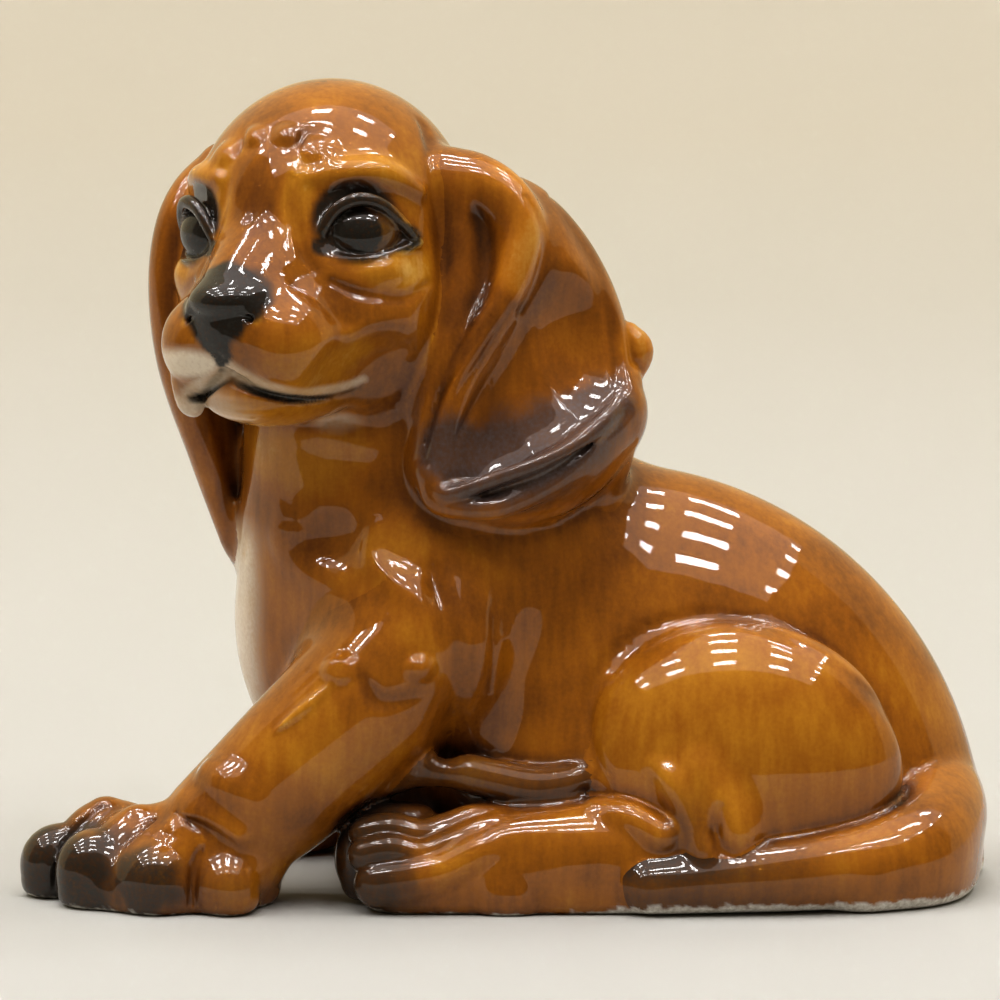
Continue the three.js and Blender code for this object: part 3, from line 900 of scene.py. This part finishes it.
def sculpt_hind_legs():
    foot = [[30, -30, 9, 8.5], [16, -31, 9.5, 8.5], [0, -31, 8.5, 8.3], [-10, -31, 7.5, 7.8]]
    upper_toe = [
        [2, -31.5, 14.6, 2.6], [-4, -32, 14.8, 2.7], [-8.5, -33, 13.6, 2.6], [-13, -33.8, 12.4, 2.8],
        [-18, -33.6, 13.2, 3.1], [-22, -33, 12.6, 3.1],
    ]
    middle_toe = [
        [0, -34, 14.6, 1.6], [-4, -35, 13.4, 1.9], [-8.5, -36, 11.4, 2.1], [-13, -36.6, 9.9, 2.4],
        [-18, -36.4, 10.6, 2.8], [-22.2, -35.6, 9.6, 2.9],
    ]
    lower_toe = [
        [4, -34.6, 11.5, 3.6], [-3, -36, 10, 3.8], [-9, -37, 7.2, 3.9], [-15, -37.2, 5.9, 4.1],
        [-19.8, -36.4, 5, 4.3],
    ]
    inner_toe = [[-14, -28, 13, 4], [-21, -28, 12.6, 4.2], [-23.5, -28, 8, 4], [-22.5, -28, 4, 4]]
    sole = [[28, -32, 3.5, 7.4], [12, -32.4, 3.5, 7.2], [-4, -32.4, 3.5, 7.2], [-16, -32.6, 3.5, 7]]
    hock = [[33, -33, 22, 5], [38, -35, 14, 5], [35, -34, 8, 5.5]]
    heel = [[16, -33, 16, 2.6], [21, -35, 15.4, 3.2], [26.5, -37, 13, 3.0]]
    tendon = [
        [26, -34.6, 24, 0.8], [28.5, -35.8, 21.4, 2], [31, -36.6, 17, 2.4], [33.5, -37.6, 11, 2.4],
    ]
    behind_tendon = [[36, -37, 18, 1.5], [35.6, -38.5, 13, 2.2], [38, -39, 9, 2]]
    for side, name in ((-1, "left_hind_leg"), (1, "right_hind_leg")):
        through = side * np.array([0, 1.0, 0])
        add(name, Egg([39, side * 23.5, 21], [28, 13.6, 25.5]), 1.5)
        rod(name, mirrored(foot, side), 2)
        rod(name, mirrored(sole, side), 3)
        rod(name, mirrored(hock, side), 3)
        rod(name, mirrored(inner_toe, side), 1)
        for toe in (upper_toe, middle_toe, lower_toe):
            rod(name, mirrored(toe, side), 0.7)
        add(name, Egg([5, side * 32.5, 12.2], [9.5, 5.4, 3.6]), 2)
        rod(name, mirrored(heel, side), 1.2)
        add(name, Egg([1.2, side * 37.6, 2.6], [6.2, 2.9, 5.8]), 0.5)
        rod(name, mirrored(tendon, side), 2.6)
        groove(mirrored(behind_tendon, side), 0.9, through)
        groove(mirrored(HAUNCH_OUTLINE, side), 0.8, through)
        for hair in HAUNCH_HAIRS:
            groove(mirrored(hair, side), 0.28, through)


def sculpt_tail():
    tail = [
        [68, 8, 16, 10], [72, -5, 13.5, 9.8], [72.2, -16, 11, 9.2], [69, -25.5, 8.8, 8.6],
        [61, -31.2, 7.2, 7.5], [50, -34.2, 6.2, 6.7], [37, -35.8, 5.3, 5.9], [25, -37, 4.5, 5.2],
    ]
    rod("tail", tail, 1.2)
    foot = [[71, -6, 5, 9.4], [71.8, -16, 5, 9], [68.6, -25.6, 4.6, 8.6], [60, -31.2, 4.2, 7.6]]
    rod("tail", foot, 2)
    ridge = [
        [78, -22, 13, 1], [71, -31, 12.4, 1.5], [61, -36, 10.8, 1.8], [49, -38.6, 9, 1.8],
        [38, -40, 7.4, 1.6], [27, -41, 6, 1],
    ]
    groove(ridge, -0.7)


sculpt_body()
sculpt_head()
sculpt_left_ear()
sculpt_right_ear()
sculpt_left_foreleg()
sculpt_right_foreleg()
sculpt_hind_legs()
sculpt_tail()
sculpt_skin()
FORM_LOW = np.array([form.low for _, form, _, _ in STEPS])
FORM_HIGH = np.array([form.high for _, form, _, _ in STEPS])
FORM_REACH = np.array([
    0.01 if verb in ("groove", "dent") else REACH + min(amount, 4) for verb, _, _, amount in STEPS
])

# ======================================================================================
# Paint
# ======================================================================================


def store(mesh, name, values):
    attribute = mesh.attributes.new(name, "FLOAT", "POINT")
    attribute.data.foreach_set("value", np.clip(values, 0, 1).astype(np.float32))


def smooth(value, low, high):
    """0 below low, 1 above high, and an even slope between. low may be the greater."""
    t = np.clip((value - low) / (high - low), 0, 1)
    return t * t * (3 - 2 * t)


def wobble(points, size):
    """Soft bumps between about -1 and 1, that many millimetres across."""
    p = points * (math.pi / size)
    a = np.sin(p[:, 0] * 1.1 + 1.7 * np.sin(p[:, 1] * 0.73 + 0.4) + p[:, 2] * 0.31)
    b = np.sin(p[:, 1] * 0.93 + 1.5 * np.sin(p[:, 2] * 0.81 + 1.9) - p[:, 0] * 0.37)
    c = np.sin(p[:, 2] * 1.07 + 1.3 * np.sin(p[:, 0] * 0.67 + 2.6) + p[:, 1] * 0.43)
    return (a + b + c) / 3


def patch(points, centre, reach, axes=UPRIGHT, soft=0.4):
    """1 in the middle of an egg, falling to 0 around its surface."""
    return smooth(Egg(centre, reach, axes).share(points), 1 + soft / 2, 1 - soft / 2)


def line_patch(points, stations, soft=0.5, through=None):
    """1 along a curve of [x, y, z, radius], falling to 0 around that radius."""
    line = long_limb(stations, through)
    share = in_chunks(points, lambda p: line.share(p)[0][None], PROBE_CUBE)[0]
    return smooth(share, 1 + soft / 2, 1 - soft / 2)


def spray(look, colour, amount):
    """Lays a colour on wherever this covers more than what is there already."""
    look[colour] = np.maximum(look[colour], amount)


def jagged(points, amount, sizes):
    """The points, shifted a little to and fro, so that what is painted at them has a ragged edge."""
    shifts = [wobble(points + offset, size) for offset, size in zip((0, 9, 31), sizes)]
    return points + amount * np.stack(shifts, 1)


def head_patch(points, centre, reach, soft):
    """A patch around a place given as left, forward, up in the head."""
    return patch(points, in_head([centre])[0], reach, HEAD_AXES, soft)


def oval(local, across, up, half_width, half_height):
    """Distance from an oval's middle in the plane of the eye: 1 on its outline."""
    return np.hypot((local[:, 0] - across) / half_width, (local[:, 2] - up) / half_height)


EYE_RIM = [  # ovals that make up the dark rim: across, up, half width, half height
    (0.2, -0.2, 7.2, 5.2), (-0.8, 1.8, 6.8, 6.0), (-6.2, -2.4, 2.0, 1.6), (6.6, -1.6, 3.6, 2.4),
]
HONEY = [  # lighter honey patches about the eye and on the lip: how much, where, reach, softness
    (0.7, [19.5, 16, -6.5], [6.5, 8, 4.2], 0.7),
    (0.6, [16, 16, 9.8], [7.5, 8, 3.0], 0.8),
    (0.9, [7, 23, 5], [2.6, 6, 7.5], 0.8),
    (0.7, [12, 26, -19], [8, 9, 5.5], 0.8),
]


def paint_eye(points, look, side):
    frame = eye_frame(side) @ HEAD_AXES
    local = (points - at_eye([[0, 0, 0]], side)[0]) @ frame.T
    near = smooth(np.abs(local[:, 1]), 9, 6)
    rim = np.min([oval(local, *shape) for shape in EYE_RIM], axis=0)
    spray(look, "soot", 0.94 * near * smooth(rim, 1.16, 0.9))
    ball = smooth(Egg(at_eye([EYEBALL], side)[0], EYE_SIZE, frame)(points), 0.35, 0.15)
    iris = oval(local, -0.7, -0.7, 1, 1)
    white = ball * smooth(iris, 3.9, 4.3)
    look["soot"] = np.where(white * near > 0, look["soot"] * (1 - 0.25 * white), look["soot"])
    spray(look, "soot", ball * near * smooth(iris, 4.3, 3.9))


def paint_throat_light(points, look):
    """The throat lightened as painted light, and a painted cream highlight under the jaw, both running
    on over the joint between head and body.
    """
    throat = patch(points, [-31, -15, 77], [14, 12, 9], soft=0.9)
    # painted light: the throat is lightened where light falls on it
    look["depth"] -= 0.26 * throat
    # painted highlight: a cream patch under the jaw
    spray(look, "cream", 0.35 * patch(points, [-27, -22, 80], [4, 5, 1.6], soft=1))


def paint_head(points, normals, look):
    rough = jagged(points, 0.5, (2.3, 2.9, 2.6))
    shield = [[0, 35.5, -10.5, 6.6], [0, 36.8, -14.2, 5.0], [0, 37.2, -17.4, 2.6], [0, 37, -20, 1.1]]
    spray(look, "soot", head_patch(rough, [0, 34.6, -9.6], [8.4, 7.0, 6.2], 0.25))
    spray(look, "soot", line_patch(rough, in_head(shield), 0.3))
    for side in (-1, 1):
        paint_eye(points, look, side)
        honey = [
            much * head_patch(points, [side * left, forward, up], reach, soft)
            for much, (left, forward, up), reach, soft in HONEY
        ]
        look["depth"] -= 0.24 * np.max(honey, axis=0)
        look["depth"] -= 0.14 * head_patch(points, [side * 20, 9, -2], [9, 12, 14], 1)
        lip = both_sides([[l, f, u + 1.1, 0.25 + f / 32] for l, f, u in LIP_LINE], side)
        spray(look, "cream", 0.62 * line_patch(points, lip, 0.9, out_of_lip(side)))
        line = both_sides([[l, f, u, 0.7] for l, f, u in LIP_LINE], side)
        spray(look, "soot", 0.97 * line_patch(points, line, 0.6, out_of_lip(side)))
        spray(look, "soot", 0.35 * head_patch(rough, [side * 15, 19, -27.2], [5, 5, 2.2], 1.2))
    look["depth"] += 0.1 * head_patch(points, [0, 24, 8], [4.6, 8, 9.5], 0.7)
    spray(look, "cream", head_patch(points, [-7, 35, -19.6], [7, 5, 2.4], 0.8))
    spray(look, "cream", 0.45 * head_patch(points, [-6, 34, -28], [8, 8, 4.5], 0.9))
    look["depth"] -= 0.26 * head_patch(points, [8, 27, -29], [14, 12, 5.5], 0.9)
    spray(look, "cream", 0.75 * head_patch(points, [-10.2, 30, -27], [3.4, 3.4, 3.4], 0.6))
    paint_throat_light(points, look)


def paint_body(points, normals, look):
    x, _, z = points.T
    chest = smooth(-normals[:, 0], 0.72, 0.95) * smooth(z, 64, 56) * smooth(x, -36, -40)
    spray(look, "cream", 0.9 * chest)
    paint_throat_light(points, look)
    shoulder = patch(points, [-20, -30, 56], [13, 14, 9], soft=1)
    look["depth"] -= 0.1 * shoulder
    # painted shade: darker in the crease between the foreleg and the flank
    behind = patch(points, [-9, -30, 40], [4, 14, 20], soft=0.9)
    look["depth"] += 0.1 * behind
    roll = [[-17, -28, 20, 3], [-8, -30, 22, 4.6], [4, -31, 20, 4.8], [14, -30, 21.5, 3]]
    spray(look, "soot", 0.55 * line_patch(points, roll, 0.7))


def paint_left_ear(points, normals, look):
    rough = jagged(points, 0.8, (3, 4, 3.5))
    bowl = [[-8, -30, 76, 6], [-3, -30, 73.5, 8], [4, -30, 75, 8], [12, -28, 78.5, 7], [18, -23, 83, 5]]
    # real dark smoke in the ear's bowl, shown in a grey-lilac that is a painted reflection of the
    # ceiling
    spray(look, "soot", 0.8 * line_patch(rough, bowl, 0.7))
    knob = patch(points, [22.6, -13, 90.4], [4, 5, 6], soft=0.8)
    look["depth"] -= 0.35 * knob
    look["depth"] -= 0.12 * smooth(points[:, 2], 67.5, 65)
    rim = [
        [-6, -19, 119, 3], [0, -20, 118.6, 3.4], [4, -22, 114, 3.4], [4.6, -24, 109, 3.4],
        [3, -26, 103, 3.2],
    ]
    look["depth"] -= 0.34 * line_patch(points, rim, 0.8)
    # painted shade: darker in the deep recess between the ear's front rim and the head
    deep = [
        [-2.4, -20, 113, 3.4], [-1.8, -20, 107, 4.4], [-2.4, -22, 101, 4.2], [-5, -24, 95, 3.4],
        [-9, -26, 86, 2.6],
    ]
    look["depth"] += 0.22 * line_patch(points, deep, 0.9)


def paint_right_ear(points, normals, look):
    look["depth"] -= 0.04


def paint_paw(points, normals, look):
    rough = jagged(points, 1.2, (3, 4, 3.5))
    tips = smooth(rough[:, 0], -58, -66) * smooth(rough[:, 2], 15.5, 11)
    tips = np.maximum(tips, 0.95 * patch(rough, [-58.6, -39, 5.5], [7, 7, 6], soft=0.8))
    tips = np.maximum(tips, 0.35 * patch(rough, [-46, -41, 5], [6, 5, 6], soft=1))
    spray(look, "soot", 0.93 * tips)
    elbow = patch(points, [-26, -37, 28], [12, 8, 9], soft=1)
    look["depth"] -= 0.12 * elbow


def paint_right_paw(points, normals, look):
    look["depth"] += 0.12
    spray(look, "soot", 0.8 * smooth(points[:, 0], -44, -52))


def paint_hind_leg(points, normals, look):
    side = np.sign(points[:, 1].mean())
    rough = jagged(points, 1.2, (3, 4, 3.5))
    toes = smooth(rough[:, 0], -10, -19)
    toes = np.maximum(toes, 0.6 * smooth(rough[:, 0], -2, -10) * smooth(points[:, 2], 9, 13))
    spray(look, "soot", 0.82 * toes)
    thigh = patch(points, [36, side * 36, 30], [24, 14, 16], soft=0.9)
    look["depth"] -= 0.16 * thigh
    spray(look, "soot", 0.3 * patch(points, [31, side * 40, 12], [4, 5, 8], soft=1))


def paint_tail(points, normals, look):
    x, _, z = points.T
    spray(look, "soot", smooth(x, 62, 26) * (0.55 + 0.35 * smooth(z, 4.5, 8)))
    look["depth"] += 0.02


PAINTERS = {
    "head": paint_head, "body": paint_body, "left_ear": paint_left_ear,
    "right_ear": paint_right_ear, "left_foreleg": paint_paw, "right_foreleg": paint_right_paw,
    "left_hind_leg": paint_hind_leg, "right_hind_leg": paint_hind_leg, "tail": paint_tail,
}
POOL = 2.4  # how wide a hollow has to be for glaze to gather in it, mm


def paint(mesh, points, normals, piece):
    """Works out, for each vertex, how deep the glaze lies, with some painted shade and light laid into
    that depth, and which colours were sprayed on.
    """
    above = in_chunks(points + POOL * normals, lambda p: measure(p)[0][None], PROBE_CUBE)[0]
    below = in_chunks(points - POOL / 2 * normals, lambda p: measure(p)[0][None], PROBE_CUBE)[0]
    hollow = np.clip(1 - above / POOL, 0, 1)
    edge = np.clip(1 + below / (POOL / 2), 0, 1)
    look = {name: np.zeros(len(points)) for name in ("soot", "cream", "bare")}
    look["depth"] = 0.46 + 0.1 * wobble(points, 9) + 0.5 * hollow - 0.35 * smooth(edge, 0.15, 0.8)
    PAINTERS[piece](points, normals, look)
    ragged = points[:, 2] + 0.45 * wobble(points, 2.2) + 0.3 * wobble(points + 17, 0.9)
    wiped = 0.4 + 1.5 * smooth(points[:, 0], 12, 26)  # wiped off higher under haunch and tail
    look["bare"] = smooth(ragged, wiped + 0.25, wiped - 0.25)
    for name, values in look.items():
        store(mesh, name, values)


class Nodes:
    """A short way to write down a node tree."""

    def __init__(self, tree):
        self.tree = tree

    def node(self, kind, **settings):
        made = self.tree.nodes.new(kind)
        for name, value in settings.items():
            setattr(made, name, value)
        return made

    def set(self, socket, value):
        if isinstance(value, bpy.types.NodeSocket):
            self.tree.links.new(value, socket)
        else:
            socket.default_value = value

    def math(self, operation, a, b=0.0, c=0.0, clamp=False):
        made = self.node("ShaderNodeMath", operation=operation, use_clamp=clamp)
        for socket, value in zip(made.inputs, (a, b, c)):
            self.set(socket, value)
        return made.outputs[0]

    def attribute(self, name):
        return self.node("ShaderNodeAttribute", attribute_name=name).outputs["Fac"]

    def noise(self, coordinates, scale, detail, stretch=None):
        if stretch:
            mapping = self.node("ShaderNodeMapping")
            self.set(mapping.inputs["Vector"], coordinates)
            mapping.inputs["Scale"].default_value = stretch
            coordinates = mapping.outputs[0]
        made = self.node("ShaderNodeTexNoise")
        self.set(made.inputs["Vector"], coordinates)
        made.inputs["Scale"].default_value = scale
        made.inputs["Detail"].default_value = detail
        return made.outputs["Fac"]

    def blend(self, factor, a, b):
        made = self.node("ShaderNodeMix", data_type="RGBA")
        self.set(made.inputs["Factor"], factor)
        self.set(made.inputs[6], a)
        self.set(made.inputs[7], b)
        return made.outputs[2]

    def ramp(self, factor, stops):
        made = self.node("ShaderNodeValToRGB")
        self.set(made.inputs["Fac"], factor)
        band = made.color_ramp
        while len(band.elements) < len(stops):
            band.elements.new(0.5)
        for element, (place, colour) in zip(band.elements, stops):
            element.position = place
            element.color = (*colour, 1)
        return made.outputs["Color"]


CARAMEL = [  # from where the glaze lies thin to where it lies deep
    (0.0, (0.62, 0.36, 0.075)), (0.18, (0.48, 0.207, 0.012)), (0.42, (0.32, 0.112, 0.004)),
    (0.65, (0.175, 0.056, 0.0025)), (0.85, (0.075, 0.0225, 0.002)), (1.0, (0.028, 0.0095, 0.0015)),
]
DARK_CARAMEL = [
    (0.0, (0.54, 0.28, 0.05)), (0.2, (0.44, 0.165, 0.009)), (0.42, (0.28, 0.094, 0.004)),
    (0.65, (0.15, 0.048, 0.0025)), (0.85, (0.064, 0.020, 0.002)), (1.0, (0.024, 0.0085, 0.0015)),
]
BLACK = [(0.35, (0.007, 0.0065, 0.006)), (0.75, (0.024, 0.021, 0.016))]  # sprayed thick
EAR_SMOKE_AND_SHEEN = [(0.35, (0.045, 0.036, 0.036)), (0.75, (0.085, 0.070, 0.072))]  # the ear's dark smoke, in the grey-lilac of the ceiling's reflection: a painted reflection


def glaze(name, bands, smoke):
    """One glossy glaze: its depth picks a colour from the bands, and over that lie the cream
    and the smoke where they were sprayed, and bare clay where the rim was wiped."""
    material = bpy.data.materials.new(name)
    material.use_nodes = True
    nodes = Nodes(material.node_tree)
    shader = material.node_tree.nodes["Principled BSDF"]
    place = nodes.node("ShaderNodeTexCoord").outputs["Object"]
    mottle = nodes.noise(place, 95, 3)
    streak = nodes.noise(place, 1, 4, (700, 700, 90))
    grain = nodes.noise(place, 1500, 2)
    depth = nodes.attribute("depth")
    for texture, share in ((mottle, 0.34), (streak, 0.3), (grain, 0.16)):
        depth = nodes.math("MULTIPLY_ADD", texture, share, depth)
    depth = nodes.math("SUBTRACT", depth, 0.40)
    colour = nodes.ramp(depth, bands)
    ragged = nodes.math("MULTIPLY_ADD", grain, 0.5, -0.25)

    def frayed(mask, much):
        amount = nodes.attribute(mask)
        fray = nodes.math("MULTIPLY", amount, ragged)
        return nodes.math("MULTIPLY_ADD", fray, much, amount, clamp=True)

    cream = frayed("cream", 1.2)
    pale = nodes.ramp(mottle, [(0.35, (0.70, 0.56, 0.38)), (0.65, (0.82, 0.72, 0.58))])
    colour = nodes.blend(cream, colour, pale)
    colour = nodes.blend(frayed("soot", 0.8), colour, nodes.ramp(grain, smoke))
    bare = nodes.attribute("bare")
    clay = nodes.ramp(grain, [(0.3, (0.50, 0.46, 0.40)), (0.7, (0.80, 0.77, 0.71))])
    colour = nodes.blend(bare, colour, clay)
    nodes.set(shader.inputs["Base Color"], colour)
    nodes.set(shader.inputs["Coat Weight"], nodes.math("SUBTRACT", 1.0, bare, clamp=True))
    shader.inputs["Roughness"].default_value = 0.6
    shader.inputs["Specular IOR Level"].default_value = 0.1
    shader.inputs["Coat Roughness"].default_value = 0.018
    shader.inputs["Coat IOR"].default_value = 1.5
    waves = nodes.node("ShaderNodeBump")
    waves.inputs["Strength"].default_value = 0.10
    waves.inputs["Distance"].default_value = 0.0002
    strokes = nodes.noise(place, 1, 1, (420, 420, 120))
    nodes.set(waves.inputs["Height"], nodes.math("ADD", strokes, nodes.noise(place, 170, 1)))
    nodes.set(shader.inputs["Coat Normal"], waves.outputs[0])
    return material


CASTINGS = {
    "body": ("body_casting", "caramel_glaze", 1.2),
    "head": ("head_casting", "caramel_glaze", 0.6),
    "left_ear": ("left_ear", "dark_caramel_glaze", 0.6),
    "right_ear": ("right_ear", "dark_caramel_glaze", 0.8),
    "left_foreleg": ("left_foreleg", "caramel_glaze", 0.55),
    "right_foreleg": ("right_foreleg", "caramel_glaze", 0.8),
    "left_hind_leg": ("left_hind_leg", "caramel_glaze", 0.55),
    "right_hind_leg": ("right_hind_leg", "caramel_glaze", 0.85),
    "tail": ("tail", "smoked_glaze", 0.55),
}
GLAZES = {
    "caramel_glaze": glaze("caramel_glaze", CARAMEL, BLACK),
    # in the ears the smoke takes a grey-lilac that is a painted reflection of the ceiling
    "dark_caramel_glaze": glaze("dark_caramel_glaze", DARK_CARAMEL, EAR_SMOKE_AND_SHEEN),
    "smoked_glaze": glaze("smoked_glaze", CARAMEL, BLACK),
}
for piece, (node, slot, cell) in CASTINGS.items():
    casting = build_piece(piece, cell)
    casting.data.materials.append(GLAZES[slot])
    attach(casting, "root")
    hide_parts(node)

# ======================================================================================
# Stage, light and camera
# ======================================================================================


FLOOR_FRONT = -0.30  # where the table ends, in front of the dog; its edge shows in the gloss


def make_floor():
    corners = [(-12, FLOOR_FRONT, 0), (12, FLOOR_FRONT, 0), (12, 14, 0), (-12, 14, 0)]
    mesh = bpy.data.meshes.new("floor")
    mesh.from_pydata(corners, [], [(0, 1, 2, 3)])
    floor = bpy.data.objects.new("floor", mesh)
    bpy.context.scene.collection.objects.link(floor)
    material = bpy.data.materials.new("cloth")
    material.use_nodes = True
    nodes = Nodes(material.node_tree)
    shader = material.node_tree.nodes["Principled BSDF"]
    place = nodes.node("ShaderNodeTexCoord").outputs["Object"]
    along = nodes.node("ShaderNodeSeparateXYZ")
    nodes.set(along.inputs[0], place)
    far = nodes.math("MULTIPLY_ADD", along.outputs["Y"], 0.5, 0.1, clamp=True)
    colour = nodes.ramp(far, [
        (0.0, (0.40, 0.41, 0.395)), (0.25, (0.39, 0.392, 0.36)), (0.6, (0.355, 0.345, 0.295)),
        (1.0, (0.352, 0.333, 0.272)),
    ])
    weave = nodes.noise(place, 900, 2)
    colour = nodes.blend(nodes.math("MULTIPLY", weave, 0.06), colour, (0.5, 0.45, 0.4, 1))
    nodes.set(shader.inputs["Base Color"], colour)
    shader.inputs["Roughness"].default_value = 0.9
    shader.inputs["Specular IOR Level"].default_value = 0.2
    mesh.materials.append(material)


def make_camera():
    """Nearly level with the figurine, from the dog's left side, a metre away."""
    distance = 1.0
    elevation = math.radians(7.5)
    view_width = 1.0 / 6.0  # what the picture spans at the target, in metres
    beside, height = 15, 65.7  # the target, from the dog's own origin, in mm
    target = Vector((DOG_ORIGIN[0] * MM, (DOG_ORIGIN[1] - beside) * MM, height * MM))
    back = Vector((0, -math.cos(elevation), math.sin(elevation)))
    data = bpy.data.cameras.new("camera")
    data.sensor_width = 36
    data.lens = data.sensor_width * distance / view_width
    data.clip_start = 0.01
    camera = bpy.data.objects.new("camera", data)
    camera.location = target + back * distance
    camera.rotation_mode = "QUATERNION"
    camera.rotation_quaternion = (-back).to_track_quat("-Z", "Y")
    bpy.context.scene.collection.objects.link(camera)
    bpy.context.scene.camera = camera


CEILING_U = (-1.0, 0.85)  # how far the ceiling reaches to the left and right, per metre of height
CEILING_V = (-0.80, 0.43)  # and towards the camera and away from it
CEILING_COLOUR = (1.4, 1.22, 1.15, 1)
TUBE_COLOUR = (104, 104, 104, 1)
LAMP_LENGTH, LAMP_WIDTH = 0.42, 0.3  # as shares of the space that each lamp has
TUBES = 4
TUBE_SHARE = 0.19  # of the space that each tube has
BACKDROP_COLOUR = (0.62, 0.53, 0.34, 1)
ROOM_COLOUR = (0.15, 0.118, 0.08, 1)


def make_light():
    """A pale ceiling with rows of lamps, each of four thin tubes, a cream backdrop behind the
    dog, and a dim room in front of it."""
    world = bpy.data.worlds.new("studio")
    bpy.context.scene.world = world
    world.use_nodes = True
    nodes = Nodes(world.node_tree)
    direction = nodes.node("ShaderNodeSeparateXYZ")
    nodes.set(direction.inputs[0], nodes.node("ShaderNodeTexCoord").outputs["Generated"])
    x, y, z = direction.outputs
    up = nodes.math("MAXIMUM", z, 0.001)
    u, v = nodes.math("DIVIDE", x, up), nodes.math("DIVIDE", y, up)

    def between(value, low, high):
        over = nodes.math("GREATER_THAN", value, low)
        return nodes.math("MULTIPLY", over, nodes.math("LESS_THAN", value, high))

    def repeat(value, period, offset):
        return nodes.math("FRACT", nodes.math("MULTIPLY_ADD", value, 1 / period, offset))

    ceiling = nodes.math("MULTIPLY", between(u, *CEILING_U), between(v, *CEILING_V))
    across = between(repeat(u, 0.46, 0.3), 0, LAMP_LENGTH)
    row = repeat(v, 0.30, 0.15)
    lamp = between(row, 0, LAMP_WIDTH)
    tube = nodes.math("FRACT", nodes.math("MULTIPLY", row, TUBES / LAMP_WIDTH))
    tube = between(tube, 0, TUBE_SHARE)
    lit = nodes.math("MULTIPLY", nodes.math("MULTIPLY", across, lamp), tube)
    behind = between(y, 0.0, 2.0)
    colour = nodes.blend(behind, ROOM_COLOUR, BACKDROP_COLOUR)
    colour = nodes.blend(ceiling, colour, nodes.blend(lit, CEILING_COLOUR, TUBE_COLOUR))
    nodes.set(world.node_tree.nodes["Background"].inputs["Color"], colour)


make_floor()
make_camera()
make_light()
bpy.context.scene.view_settings.view_transform = "Standard"
bpy.context.scene.view_settings.look = "Medium High Contrast"
